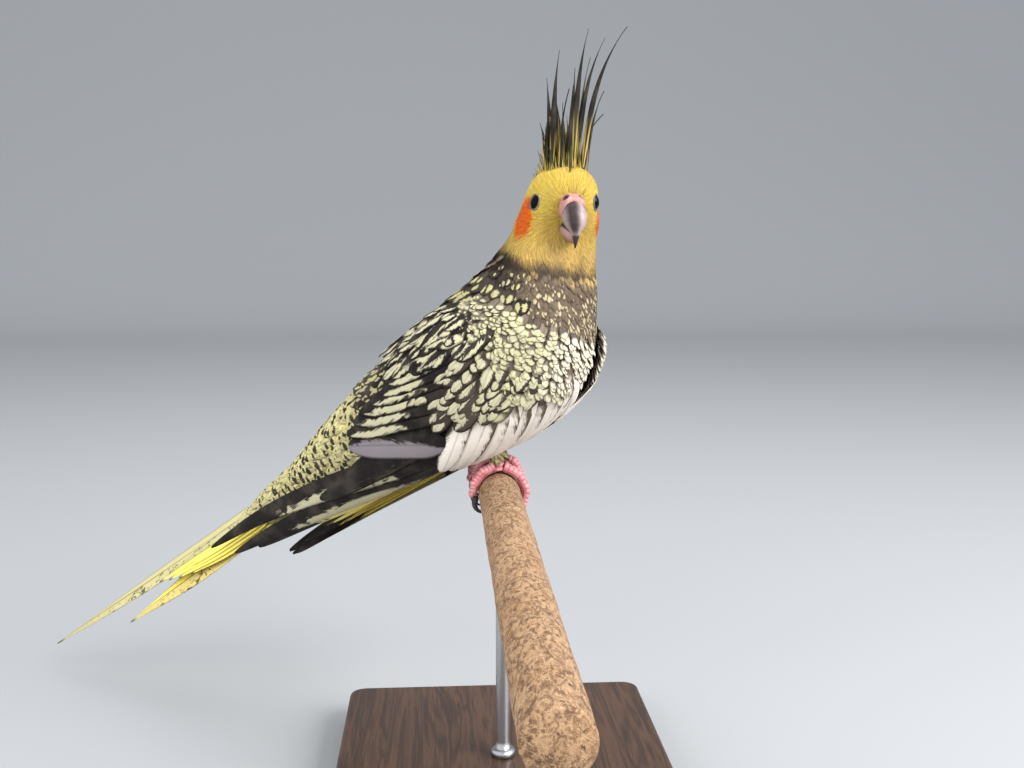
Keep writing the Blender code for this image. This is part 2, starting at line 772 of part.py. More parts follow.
def cylinder(name, radius, length, matrix, finish, bevel=0.0, segments=28):
    """A cylinder along its own z, with bevelled rims."""
    mesh = bpy.data.meshes.new(name)
    work = bmesh.new()
    bmesh.ops.create_cone(
        work, cap_ends=True, segments=segments, radius1=radius * MM, radius2=radius * MM, depth=length * MM
    )
    work.to_mesh(mesh)
    work.free()
    mesh.materials.append(finish)
    obj = bpy.data.objects.new(name, mesh)
    obj.matrix_world = matrix
    PART.objects.link(obj)
    if bevel:
        rim = obj.modifiers.new("rim", "BEVEL")
        rim.width = bevel * MM
        rim.segments = 2
        rim.limit_method = "ANGLE"
    return obj


def stand():
    """The perch, its two rods and the base plate."""
    axis_z = PERCH_TOP - PERCH_RADIUS
    along_y = Matrix.Rotation(math.radians(90), 4, "X")
    place = Matrix.Translation(Vector((0.0, 0.0, axis_z)) * MM) @ along_y
    perch = cylinder("perch", PERCH_RADIUS, PERCH_LENGTH, place, PAINT["perch"], bevel=0.8, segments=36)
    apply_modifiers(perch)
    top_of_rod = axis_z - PERCH_RADIUS + ROD_DEPTH_IN_PERCH
    low = BASE_SIZE[2] + GAP
    length = top_of_rod - low
    holes = []
    for label, y in zip(("front", "back"), ROD_PLACES):
        middle = Matrix.Translation(Vector((0.0, y, low + length / 2)) * MM)
        cylinder(f"stand_rod_{label}", ROD_RADIUS, length, middle, PAINT["metal"], segments=20)
        hole = cylinder("hole", ROD_RADIUS + GAP, length + 2 * GAP, middle, PAINT["metal"], segments=20)
        holes.append(hole)
    cut(perch, holes)
    discard(holes)
    mesh = bpy.data.meshes.new("stand_base")
    work = bmesh.new()
    bmesh.ops.create_cube(work, size=1.0)
    bmesh.ops.scale(work, vec=Vector(BASE_SIZE) * MM, verts=work.verts)
    upright = [e for e in work.edges if abs(e.verts[0].co.z - e.verts[1].co.z) > 1e-6]
    bmesh.ops.bevel(work, geom=upright, offset=BASE_CORNER * MM, segments=4, affect="EDGES", profile=0.5)
    work.to_mesh(mesh)
    work.free()
    mesh.materials.append(PAINT["base"])
    base = bpy.data.objects.new("stand_base", mesh)
    base.location = (0.0, 0.0, BASE_SIZE[2] / 2 * MM)
    PART.objects.link(base)
    edge = base.modifiers.new("edge", "BEVEL")
    edge.width = 1.2 * MM
    edge.segments = 2
    edge.limit_method = "ANGLE"
    edge.angle_limit = math.radians(60)


def bird():
    """Every node of the bird, parted from one body and cut clear of its neighbours."""
    whole = whole_body()
    root_t, rump_t, neck_t, head_t, crown_t = PARTING
    tail_root = body_part("tail", whole, None, root_t, PAINT["yellow_feather"])
    body_part("rump", whole, root_t, rump_t, PAINT["pearl_feather"])
    body_part("torso", whole, rump_t, neck_t, PAINT["grey_feather"])
    neck = body_part("neck", whole, neck_t, head_t, PAINT["grey_feather"])
    head = body_part("head", whole, head_t, crown_t, PAINT["yellow_feather"])
    crown = body_part("crest", whole, crown_t, None, PAINT["yellow_feather"])
    room = swollen(whole, GAP)
    discard([whole])
    upper = turned_bill("bill_upper", UPPER_BILL, PAINT["bill"])
    cere = turned_bill("cere", CERE, PAINT["cere"], rings=7)
    lower = lower_bill()
    upper_room = swollen(upper)
    cut(lower, [upper_room])
    dents = []
    for side in (1, -1):
        here = head_point(BILL_PIVOT[0] + 3.9, side * NOSTRIL[0], BILL_PIVOT[1] + 12.2)
        dents.append(ball("nostril", here, NOSTRIL[1], PAINT["cere"], 10, 6))
    cere_room, lower_room = swollen(cere), swollen(lower)
    cut(cere, dents)
    discard(dents)
    lids, eye_rooms = [], []
    for side, label in ((1, "left"), (-1, "right")):
        here, out = eye_place(side)
        lids.append(lid("lid_" + label, here - out * 0.1, out))
        centre = here - out * EYE_DEPTH
        ball("eye_" + label, centre, EYE_RADIUS, PAINT["eye"])
        eye_rooms.append(ball("socket", centre, EYE_RADIUS + GAP, PAINT["eye"]))
    join(head, lids)
    cut(neck, [lower_room, upper_room])
    cut(head, [upper_room, cere_room, lower_room, *eye_rooms])
    discard([upper_room, cere_room, lower_room, *eye_rooms])
    crest(crown)
    tail(tail_root)
    feet = [foot("foot_left", FEET_Y + FOOT_SPACING / 2, True), foot("foot_right", FEET_Y - FOOT_SPACING / 2, False)]
    tail_room = swollen(tail_root)
    foot_rooms = [swollen(shank) for shank, _ in feet]
    for side, label, foot_room in zip((1, -1), ("left", "right"), foot_rooms):
        made = cut(wing(side), [room, tail_room, foot_room])
        leg = thigh("leg_" + label, side)
        wing_room = swollen(made)
        cut(leg, [room, foot_room, wing_room])
        discard([wing_room])
    discard([room, tail_room, *foot_rooms])


clear_scene()
PART = collection("cockatiel")
PAINT = {
    "grey_feather": material("grey_feather", (0.30, 0.26, 0.21), 0.8),
    "pearl_feather": material("pearl_feather", (0.55, 0.52, 0.38), 0.8),
    "dark_feather": material("dark_feather", (0.07, 0.06, 0.06), 0.6),
    "yellow_feather": material("yellow_feather", (0.86, 0.74, 0.22), 0.75),
    "bill": material("bill", (0.36, 0.28, 0.29), 0.4),
    "cere": material("cere", (0.78, 0.50, 0.50), 0.5),
    "eye": material("eye", (0.01, 0.008, 0.008), 0.05),
    "foot": material("foot", (0.76, 0.42, 0.44), 0.6),
    "claw": material("claw", (0.08, 0.06, 0.06), 0.35),
    "perch": material("perch", (0.62, 0.42, 0.26), 0.8),
    "base": material("base", (0.20, 0.13, 0.09), 0.45),
    "metal": material("metal", (0.60, 0.60, 0.62), 0.3, 1.0),
}
BIRD = bpy.data.objects.new("bird_frame", None)
PART.objects.link(BIRD)
BIRD.location = Vector((0.0, FEET_Y, PERCH_TOP)) * MM
BIRD.rotation_euler = (0.0, 0.0, BODY_YAW)
bpy.context.view_layer.update()

stand()
bird()
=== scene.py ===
"""The dressed model of a life-size pearl cockatiel on its perch and display stand.

Lengths are in millimetres in the bird's own frame, f forward, l to its left and u up from the top
of the perch between its feet, until stand_up turns them into metres in the model's frame.
"""

import math

import bpy
import numpy as np
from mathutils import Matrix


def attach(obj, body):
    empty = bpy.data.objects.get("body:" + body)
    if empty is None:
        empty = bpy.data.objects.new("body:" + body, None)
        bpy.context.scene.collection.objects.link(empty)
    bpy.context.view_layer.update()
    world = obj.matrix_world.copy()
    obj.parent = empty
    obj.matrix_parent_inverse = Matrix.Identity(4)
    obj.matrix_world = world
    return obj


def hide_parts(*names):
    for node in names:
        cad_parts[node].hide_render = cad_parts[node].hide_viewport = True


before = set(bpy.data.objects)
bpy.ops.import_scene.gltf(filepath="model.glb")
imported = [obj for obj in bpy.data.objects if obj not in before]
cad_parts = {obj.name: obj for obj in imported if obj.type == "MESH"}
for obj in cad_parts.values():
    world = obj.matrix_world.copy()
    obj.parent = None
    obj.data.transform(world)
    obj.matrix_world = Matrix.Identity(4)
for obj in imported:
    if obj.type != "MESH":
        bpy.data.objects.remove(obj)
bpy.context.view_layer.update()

# The measures that the solids were made from
BODY_YAW = math.radians(-23.7)
HEAD_TURN = math.radians(60.0)
HEAD_FORWARD = 24.9
FEET_Y = 90.0
FOOT_SPACING = 22.0
PERCH_TOP = 108.0
PERCH_RADIUS = 7.5
PERCH_LENGTH = 250.0
ROD_RADIUS = 2.5
ROD_PLACES = (-85.0, 55.0)
GAP = 0.3
SKIN_DEPTH = 1.3
HEAD_SKIN_DEPTH = 0.45
PERCH_EDGE = 0.8
MM = 0.001

# Body sections from the tail's root to the crown: f, u, slope, dorsal, ventral, half width, turn
BODY = np.array(
    [
        (-106.0, -28.0, 36.0, 3.0, 6.0, 6.0, 0.0),
        (-93.0, -18.0, 37.0, 5.0, 12.5, 10.0, 0.0),
        (-79.0, -8.0, 38.0, 6.6, 18.5, 14.5, 0.0),
        (-61.0, 5.5, 40.0, 10.8, 23.5, 19.5, 0.0),
        (-42.0, 18.5, 41.0, 15.0, 26.5, 23.5, 0.0),
        (-22.0, 31.5, 42.0, 18.2, 28.0, 26.0, 0.0),
        (-3.0, 43.5, 46.0, 21.8, 28.0, 27.0, 0.0),
        (12.0, 54.5, 56.0, 24.4, 26.0, 25.5, 0.0),
        (17.0, 66.0, 70.0, 21.0, 19.5, 21.5, 10.0),
        (19.0, 76.0, 82.0, 17.8, 16.0, 17.6, 26.0),
        (21.4, 84.0, 89.0, 16.4, 12.8, 15.2, 48.0),
        (22.9, 90.0, 90.0, 16.2, 12.6, 14.5, 60.0),
        (24.0, 96.5, 90.0, 15.6, 13.2, 12.9, 60.0),
        (24.8, 101.5, 90.0, 14.6, 12.4, 11.8, 60.0),
        (25.2, 105.8, 90.0, 12.2, 9.6, 9.6, 60.0),
        (25.5, 108.6, 90.0, 8.0, 5.6, 6.2, 60.0),
        (25.5, 109.8, 90.0, 3.0, 2.0, 2.2, 60.0),
    ]
)
BODY_ROUNDNESS = (2.2, 2.2)

# The surface that the folded wings lie on, in the same columns
WING_GUIDE = np.array(
    [
        (-168.0, -75.0, 37.0, 5.0, 9.0, 6.0, 0.0),
        (-144.0, -56.5, 37.0, 6.0, 11.0, 9.5, 0.0),
        (-120.0, -39.0, 37.0, 7.0, 14.0, 12.6, 0.0),
        (-97.0, -21.5, 37.0, 8.0, 18.0, 16.5, 0.0),
        (-79.0, -8.0, 38.0, 9.0, 22.0, 20.5, 0.0),
        (-61.0, 5.5, 40.0, 12.4, 27.0, 24.5, 0.0),
        (-42.0, 18.5, 41.0, 16.0, 31.0, 27.0, 0.0),
        (-22.0, 31.5, 42.0, 18.8, 33.0, 28.8, 0.0),
        (-3.0, 43.5, 46.0, 21.8, 33.0, 29.4, 0.0),
        (12.0, 54.5, 56.0, 23.5, 28.5, 26.6, 0.0),
        (17.0, 66.0, 70.0, 20.5, 21.0, 22.2, 0.0),
    ]
)
WING_ROUNDNESS = (2.2, 3.6)

# The pad over the folded arm: section, upper edge, lower edge, thickness
SHIELD = np.array(
    [
        (4.9, 92.0, 116.0, 1.0),
        (5.6, 60.0, 134.0, 2.0),
        (6.5, 42.0, 150.0, 2.8),
        (7.4, 34.0, 158.0, 3.4),
        (8.2, 38.0, 160.0, 3.2),
        (8.8, 52.0, 150.0, 2.2),
        (9.3, 74.0, 122.0, 0.8),
    ]
)

# The tips of the wing's tertials: section and angle
TERTIAL_TIPS = (
    (7.1, 76),
    (6.85, 80),
    (6.62, 83),
    (6.4, 84),
    (6.15, 85),
    (5.95, 88),
    (5.72, 92),
)
# Rows of the wing's middle coverts: section of the roots, of the tips, and half width
COVERT_ROWS = ((7.8, 7.1, 3.3), (8.05, 7.35, 3.1), (8.3, 7.6, 2.8), (8.6, 7.9, 2.6))
# Rows of the scapulars: section of the roots, of the tips, first angle and last
SCAPULAR_ROWS = (
    (7.7, 6.9, 42, 70),
    (8.0, 7.2, 40, 76),
    (8.3, 7.5, 42, 82),
    (8.6, 7.8, 44, 84),
    (8.9, 8.1, 48, 88),
)
VANE_THICK = 0.22

# Tail feathers from the middle pair outwards: length, half width, spread, drop, side
TAIL_PAIRS = (
    (146.0, 7.0, 0.6, 0.8, 1.0),
    (70.0, 5.6, 3.0, -3.0, 2.4),
    (63.0, 5.2, 3.8, -5.0, 3.2),
    (56.0, 4.9, 4.6, -7.0, 4.0),
    (48.0, 4.6, 5.4, -9.0, 4.4),
)
TAIL_SHORT_RIGHT = (-56.0, 3.6, -8.2, 2.4)
TAIL_ROOT = (-92.0, -16.0)
TAIL_SLOPE = (35.0, 32.5)
TAIL_ROLL = (-0.6, 0.06)

# Crest feathers: root forward, root left, tip left, rise, sweep back, half width
CREST = np.array(
    [
        (4.0, 5.6, 25.5, 53.5, 14.0, 1.2),
        (5.0, 2.2, 10.8, 52.0, 13.0, 1.3),
        (3.0, 3.8, 17.6, 49.5, 14.0, 1.2),
        (4.0, -5.0, 0.0, 44.0, 11.0, 1.4),
        (5.5, -2.9, 2.0, 30.0, 6.0, 1.2),
        (5.5, 1.0, 3.5, 31.0, 6.0, 1.2),
        (2.0, -6.4, -3.8, 25.0, 8.0, 1.3),
        (3.0, 6.2, 11.0, 20.0, 6.0, 1.3),
        (-2.0, 4.0, 8.5, 40.0, 17.0, 1.4),
        (-2.0, -4.0, -2.0, 36.0, 17.0, 1.4),
        (-4.5, 0.0, 2.0, 31.0, 18.0, 1.6),
        (-4.0, -4.5, -4.5, 20.0, 15.0, 1.5),
        (-4.0, 4.5, 7.0, 21.0, 15.0, 1.5),
    ]
)
CREST_ROOT = 106.2

# The bill about its pivot: angle, outer and inner radius, half width
BILL_PIVOT = (10.8, 86.3)
UPPER_BILL = np.array(
    [
        (60.0, 12.2, 4.5, 3.6),
        (49.0, 13.0, 5.2, 4.0),
        (37.0, 13.2, 5.6, 4.15),
        (24.0, 12.8, 6.2, 4.0),
        (13.0, 12.2, 6.8, 3.4),
        (4.0, 11.6, 7.3, 2.4),
        (-5.0, 11.1, 7.9, 1.35),
        (-17.0, 10.6, 8.6, 0.85),
        (-32.0, 10.3, 9.8, 0.25),
    ]
)
CERE = np.array(
    [
        (99.0, 11.4, 4.0, 3.2),
        (88.0, 12.8, 4.0, 3.9),
        (74.0, 13.5, 4.2, 4.25),
        (63.0, 13.5, 4.4, 4.3),
        (55.0, 13.3, 5.4, 4.2),
    ]
)
# The lower bill: forward, height, half depth, half width
LOWER_BILL = np.array(
    [
        (8.5, 87.2, 3.2, 3.4),
        (12.0, 86.7, 3.7, 3.4),
        (15.0, 86.0, 3.6, 2.9),
        (17.0, 85.4, 2.8, 2.0),
        (18.2, 85.2, 1.5, 1.0),
    ]
)

# A nostril's place on the cere from the bill's pivot: forward, to the side, up
NOSTRIL = (5.6, 2.5, 11.4)

# The eyes: angle from straight ahead, height, radius, depth of the centre, and the lid's ring
EYE_ANGLE = 54.0
EYE_HEIGHT = 96.6
EYE_RADIUS = 3.3
EYE_DEPTH = 1.3
EYE_OPENING = (0.70, 0.92, 0.75)
LID_RING = (3.0, 0.30)

# Toes round the perch: name, place along it, first and last angle, radius at root and end
TOES = (
    ("front_inner", 2.2, 80.0, -14.0, 1.8, 1.4),
    ("front_outer", -2.2, 80.0, -28.0, 1.8, 1.4),
    ("back_inner", 2.1, 100.0, 168.0, 1.9, 1.5),
    ("back_outer", -2.4, 100.0, 182.0, 2.0, 1.6),
)
CLAW_LENGTH = 7.5

# The thigh's radius along it
THIGH = ((0.0, 0.3, 0.6, 0.85, 1.0), (8.0, 7.6, 6.0, 4.4, 3.4))

# Feather colours, as linear red, green and blue
LEMON = (0.97, 0.68, 0.12)
PRIMROSE = (0.90, 0.72, 0.26)
STRAW = (0.62, 0.54, 0.21)
PEACH = (0.88, 0.58, 0.24)
CREAM = (0.48, 0.445, 0.29)
IVORY = (0.82, 0.74, 0.65)
TAUPE = (0.125, 0.090, 0.061)
UMBER = (0.040, 0.030, 0.024)
SLATE = (0.013, 0.0105, 0.010)
LILAC = (0.21, 0.185, 0.20)
ORANGE = (1.0, 0.17, 0.014)
OLIVE = (0.16, 0.14, 0.04)
EDGE_YELLOW = (0.90, 0.74, 0.20)
AMBER = (0.93, 0.56, 0.13)
PLAIN = ((0.0, 0.0, 0.0), (0.0, 0.0, 0.1))

# The studio: floor and sky, and each light's name, watts, size, place and aim in metres
FLOOR_COLOUR = (0.33, 0.335, 0.34)
SKY_COLOUR = (0.80, 0.84, 0.90)
SKY_STRENGTH = 1.25
LIGHTS = (
    ("window_light", 20.0, 0.7, (0.75, -0.45, 0.72), (0.0, 0.08, 0.16)),
    ("fill_light", 14.5, 1.2, (-0.9, -0.8, 0.55), (0.0, 0.05, 0.12)),
    ("top_light", 5.0, 0.8, (-0.1, 0.5, 1.1), (0.0, 0.05, 0.12)),
)
# The camera: lens and sensor in millimetres, place in metres, turn in degrees
LENS, SENSOR = 38.67, 36.0
CAMERA_PLACE = (-0.02075, -0.3122, 0.1899)
CAMERA_TURN = (82.8, 0.0, -3.72)


def stand_up(points):
    """Bird frame to model frame: a turn by the body's yaw, a move to the feet, and mm to metres."""
    c, s = math.cos(BODY_YAW), math.sin(BODY_YAW)
    f, l, u = points[..., 0], points[..., 1], points[..., 2]
    return MM * np.stack([f * c - l * s, f * s + l * c + FEET_Y, u + PERCH_TOP], axis=-1)


def unit(v):
    """Each vector divided by its length."""
    return v / np.linalg.norm(v, axis=-1, keepdims=True)


def dot(a, b):
    """The dot product along the last axis, kept as a column."""
    return (a * b).sum(-1, keepdims=True)


def ease(x, low, high):
    """0 below low, 1 above high, and 3x^2 - 2x^3 in between."""
    x = np.clip((x - low) / (high - low), 0.0, 1.0)
    return x * x * (3.0 - 2.0 * x)


def rows_at(table, t):
    """Rows of a table at fractional places: a cubic between neighbours, straight past the ends."""
    t = np.asarray(t, float)
    inner = np.clip(t, 0, len(table) - 1)
    i = np.minimum(inner.astype(int), len(table) - 2)
    x = (inner - i)[..., None]
    padded = np.vstack([2 * table[0] - table[1], table, 2 * table[-1] - table[-2]])
    before, a, b, after = padded[i], padded[i + 1], padded[i + 2], padded[i + 3]
    curve = (
        (2 * x**3 - 3 * x**2 + 1) * a
        + (x**3 - 2 * x**2 + x) * (b - before) / 2
        + (3 * x**2 - 2 * x**3) * b
        + (x**3 - x**2) * (after - a) / 2
    )
    past = (t - inner)[..., None]
    return curve + past * np.where(past < 0, table[1] - table[0], table[-1] - table[-2])


def lofted(table, roundness, t, angle, lift):
    """A point of a lofted body: the section's middle plus its reach at that angle.

    The reach is (|sin|/width)^p + (|cos|/height)^p to the power -1/p, plus the lift."""
    t, angle, lift = np.broadcast_arrays(t, angle, lift)
    f, u, slope, dorsal, ventral, width, turn = np.moveaxis(rows_at(table, t), -1, 0)
    s, c = np.sin(np.radians(angle)), np.cos(np.radians(angle))
    height = np.maximum(np.where(c > 0, dorsal, ventral), 0.8)
    power = np.where(c > 0, roundness[0], roundness[1])
    width = np.maximum(width, 0.8)
    reach = (np.abs(s) / width) ** power + (np.abs(c) / height) ** power
    reach = reach ** (-1.0 / power) + lift
    a, tau = np.radians(slope), np.radians(turn)
    none = np.zeros_like(a)
    belly = np.stack([np.sin(a), none, -np.cos(a)], axis=-1)
    left = np.stack([none, none + 1.0, none], axis=-1)
    down = belly * np.cos(tau)[..., None] - left * np.sin(tau)[..., None]
    side = left * np.cos(tau)[..., None] + belly * np.sin(tau)[..., None]
    middle = np.stack([f, none, u], axis=-1)
    return middle + reach[..., None] * (side * s[..., None] - down * c[..., None])


def hide(t, angle, lift=0.0):
    """The body's surface."""
    return lofted(BODY, BODY_ROUNDNESS, t, angle, lift)


def pad(t, angle):
    """How far the pad over the arm stands off the wing's surface: thickness x (1 - x^4)^0.5, where
    x runs from -1 at the pad's upper edge to 1 at the lower one."""
    place = np.interp(t, SHIELD[:, 0], np.arange(len(SHIELD)))
    row = rows_at(SHIELD, place)
    x = np.clip((angle - row[..., 1]) / (row[..., 2] - row[..., 1]), 0.0, 1.0)
    ends = ease(np.asarray(t, float), 4.6, 5.2) * (1 - ease(np.asarray(t, float), 9.2, 9.6))
    return row[..., 3] * np.sqrt(np.maximum(0.0, 1 - (2 * x - 1) ** 4)) * ends


def folded(side):
    """The surface of the folded wing on that side, 1 for left and -1 for right.

    The left one lies closer to the body at the arm."""

    def surface(t, angle, lift=0.0):
        """A point of the wing's surface, in the bird's frame."""
        t, angle, lift = np.broadcast_arrays(t, angle, lift)
        points = lofted(WING_GUIDE, WING_ROUNDNESS, t, angle, lift) * np.array([1.0, side, 1.0])
        if side > 0:
            points[..., 1] *= 1 - 0.12 * ease(t, 6.0, 8.0) - 0.14 * ease(t, 7.6, 8.8)
        return points

    return surface


def padded_arm(side):
    """The wing's surface with the pad over the arm on it."""

    def surface(t, angle, lift=0.0):
        """A point of the padded surface, in the bird's frame."""
        return folded(side)(t, angle, pad(np.asarray(t, float), np.asarray(angle, float)) + lift)

    return surface


def head_point(forward, left, height):
    """A point given from the head's middle, forward, left and up, in the bird's frame."""
    c, s = math.cos(HEAD_TURN), math.sin(HEAD_TURN)
    forward, left, height = np.broadcast_arrays(forward, left, height)
    ahead = HEAD_FORWARD + forward * c + left * s
    return np.stack([ahead, -forward * s + left * c, height * 1.0], axis=-1)


def in_head(points):
    """Points of the bird's frame as forward, left and up from the head's middle."""
    c, s = math.cos(HEAD_TURN), math.sin(HEAD_TURN)
    f, l = points[..., 0] - HEAD_FORWARD, points[..., 1]
    return np.stack([f * c - l * s, f * s + l * c, points[..., 2]], axis=-1)


class Mesh:
    """Points, faces and what they carry, gathered from many forms into one piece."""

    def __init__(self):
        self.points, self.faces, self.carried, self.count = [], [], [], 0

    def take(self, points, faces, **carried):
        """Adds points in model metres, faces as arrays of point numbers, and values per point."""
        self.points.append(points.reshape(-1, 3))
        for block in faces:
            self.faces.append(block + self.count)
        self.carried.append(carried)
        self.count += len(self.points[-1])

    def build(self, name, finish, slot, replaces=()):
        """Makes the object, with its maps and attributes, riding on the model's one body.

        Where forms carry normals, each point's is turned towards the surface under it."""
        mesh = bpy.data.meshes.new(name)
        points = np.concatenate(self.points).astype(np.float32)
        loops = np.concatenate([b.ravel() for b in self.faces]).astype(np.int32)
        sizes = np.concatenate([np.full(len(b), b.shape[1]) for b in self.faces])
        starts = np.concatenate([[0], np.cumsum(sizes)[:-1]]).astype(np.int32)
        mesh.vertices.add(len(points))
        mesh.vertices.foreach_set("co", points.ravel())
        mesh.loops.add(len(loops))
        mesh.loops.foreach_set("vertex_index", loops)
        mesh.polygons.add(len(starts))
        mesh.polygons.foreach_set("loop_start", starts)
        mesh.update(calc_edges=True)
        mesh.polygons.foreach_set("use_smooth", np.full(len(starts), True))
        for key in self.carried[0]:
            values = np.concatenate([c[key].reshape(-1, c[key].shape[-1]) for c in self.carried])
            values = values.astype(np.float32)
            if key == "normals":
                own = np.zeros(len(points) * 3, np.float32)
                mesh.vertex_normals.foreach_get("vector", own)
                own = own.reshape(-1, 3)
                towards = np.where(dot(own, values) < -0.2, own, values)
                mesh.normals_split_custom_set_from_vertices(unit(own * 0.35 + towards).tolist())
                continue
            if values.shape[1] == 2:
                layer = mesh.uv_layers.new(name=key)
                layer.data.foreach_set("uv", values[loops].ravel())
            elif values.shape[1] == 3:
                vectors = mesh.attributes.new(key, "FLOAT_VECTOR", "POINT")
                vectors.data.foreach_set("vector", values.ravel())
            else:
                numbers = mesh.attributes.new(key, "FLOAT", "POINT")
                numbers.data.foreach_set("value", values.ravel())
        mesh.materials.append(finish)
        made = bpy.data.objects.new(name, mesh)
        bpy.context.scene.collection.objects.link(made)
        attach(made, "root")
        if replaces:
            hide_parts(*replaces)


def wrapped(grid):
    """Quads over a grid (rows, sides) whose sides close round, and one face over each end."""
    rows, sides = grid.shape[:2]
    r, k = np.meshgrid(np.arange(rows - 1), np.arange(sides), indexing="ij")
    after = (k + 1) % sides
    here, below = r * sides, (r + 1) * sides
    quads = np.stack([here + k, here + after, below + after, below + k], -1)
    first = np.arange(sides)[::-1][None]
    last = ((rows - 1) * sides + np.arange(sides))[None]
    return quads.reshape(-1, 4), first, last


def add_tube(mesh, grid, flip=False, **carried):
    """A closed form through rings of points in metres of the model's frame."""
    blocks = list(wrapped(grid))
    if flip:
        blocks = [b[:, ::-1] for b in blocks]
    mesh.take(grid, blocks, **carried)


def lone_tube(name, grid, flip, finish, slot, solids, **carried):
    """A piece that is one closed form, through rings of points in metres of the model's frame."""
    mesh = Mesh()
    add_tube(mesh, grid, flip, **carried)
    mesh.build(name, finish, slot, solids)


def add_feathers(mesh, top, under, place, patch, ground, mark, spot, form, normals=None):
    """Closed thin feathers from their upper and under sides, each (feather, step, column, 3).

    The ring at each step runs over the top from left to right and back under, the edges shared.
    Vane holds the place on a feather, across and along. OFBake holds its own small patch."""
    count, steps, columns = top.shape[:3]
    ring = np.concatenate([top, under[:, :, columns - 2 : 0 : -1]], axis=2)
    sides = ring.shape[2]
    across = np.linspace(0, 1, columns)
    across = np.concatenate([across, across[columns - 2 : 0 : -1]])
    n, r, k = np.meshgrid(np.arange(count), np.arange(steps - 1), np.arange(sides), indexing="ij")
    base = (n * steps + r) * sides
    after = (k + 1) % sides
    quads = [base + k, base + after, base + sides + after, base + sides + k]
    quads = np.stack(quads, -1).reshape(-1, 4)
    start = np.arange(count)[:, None] * steps * sides
    root = start + np.arange(sides)[::-1][None]
    tip = start + (steps - 1) * sides + np.arange(sides)[None]
    whole = (count, steps, sides)
    u = np.broadcast_to(across, whole)
    v = np.broadcast_to(np.linspace(0, 1, steps)[None, :, None], whole)
    vane = np.stack([u, v], -1)
    patch = np.broadcast_to(np.asarray(patch, float).reshape(-1, 1, 1, 1), (count, 1, 1, 1))
    bake = place[:, None, None, :] + (vane - 0.5) * patch

    def each(values):
        """A feather's numbers, given to each of its points."""
        values = np.broadcast_to(np.asarray(values, float), (count, np.shape(values)[-1]))
        return np.broadcast_to(values[:, None, None, :], (*whole, values.shape[-1]))

    soft = {}
    if normals is not None:
        soft["normals"] = each(stand_up(normals) - stand_up(0.0 * normals))
    mesh.take(
        stand_up(ring),
        [quads, root, tip],
        **soft,
        Vane=vane,
        OFBake=bake,
        ground=each(ground),
        mark=each(mark),
        spot=each(spot),
        form=each(form),
    )


def axes_on(surface, t, angle):
    """The steps of a surface along t and round its angle at places on it, and the way out of it."""
    along_t = (surface(t + 0.02, angle) - surface(t - 0.02, angle)) / 0.04
    along_a = (surface(t, angle + 1.0) - surface(t, angle - 1.0)) / 2.0
    out = unit(np.cross(along_a, along_t))
    reach = surface(t, angle, 1.0) - surface(t, angle)
    return along_t, along_a, out * np.sign(dot(out, reach))


def in_measures(v, along_t, along_a):
    """A step on the surface as its parts along t and angle, solved with the surface's metric."""
    tt, ta, aa = dot(along_t, along_t), dot(along_t, along_a), dot(along_a, along_a)
    p, q = dot(v, along_t), dot(v, along_a)
    area = tt * aa - ta * ta
    return (aa * p - ta * q) / area, (tt * q - ta * p) / area


def each_one(values):
    """A number, or one for each feather, shaped to spread over steps and columns."""
    return np.asarray(values, float).reshape(-1, 1, 1)


def lay_feathers(
    surface, t, angle, way, length, half_width, steps, columns, outline, rise, camber, thick
):
    """Feathers laid on a surface from roots at (t, angle) towards way.

    A point is the root plus s x length along the lay and x x half width x outline(s) across it,
    both turned into t and angle by the surface's metric at the root, so the feather follows the
    surface. It stands off by rise from root to tip plus camber x (1 - x^2)."""
    along_t, along_a, out = axes_on(surface, t, angle)
    way = unit(way - out * dot(way, out))
    across = np.cross(way, out)
    way_t, way_a = in_measures(way, along_t, along_a)
    across_t, across_a = in_measures(across, along_t, along_a)
    s = steps[None, :, None]
    x = np.linspace(-1, 1, columns)[None, None, :]
    forth = s * each_one(length)
    aside = x * outline(s) * each_one(half_width)
    places_t = t[:, None, None] + way_t[:, :, None] * forth + across_t[:, :, None] * aside
    places_a = angle[:, None, None] + way_a[:, :, None] * forth + across_a[:, :, None] * aside
    low, high = each_one(rise[0]), each_one(rise[1])
    lift = low + (high - low) * s + each_one(camber) * (1 - x * x)
    top = surface(places_t, places_a, lift)
    return top, surface(places_t, places_a, lift - thick)


def blunt(s, root_end, tip_start, tip_length):
    """An outline that widens from 0.45 at the root, runs on full, and ends in a half ellipse."""
    tip = np.clip(s - tip_start, 0, 1) / tip_length
    return (0.45 + 0.55 * ease(s, 0, root_end)) * np.sqrt(np.clip(1 - tip**2, 0, 1))


def rounded(s):
    """The outline of a small body feather: full past the middle and round at the tip."""
    return blunt(s, 0.45, 0.5, 0.505)


def pointed(s):
    """An outline like a lance: the product of a rise from the root and a long taper to the tip."""
    return (0.35 + 0.65 * ease(s, 0, 0.35)) * (1 - 0.94 * np.clip(s - 0.25, 0, 1) ** 1.4 / 0.67)


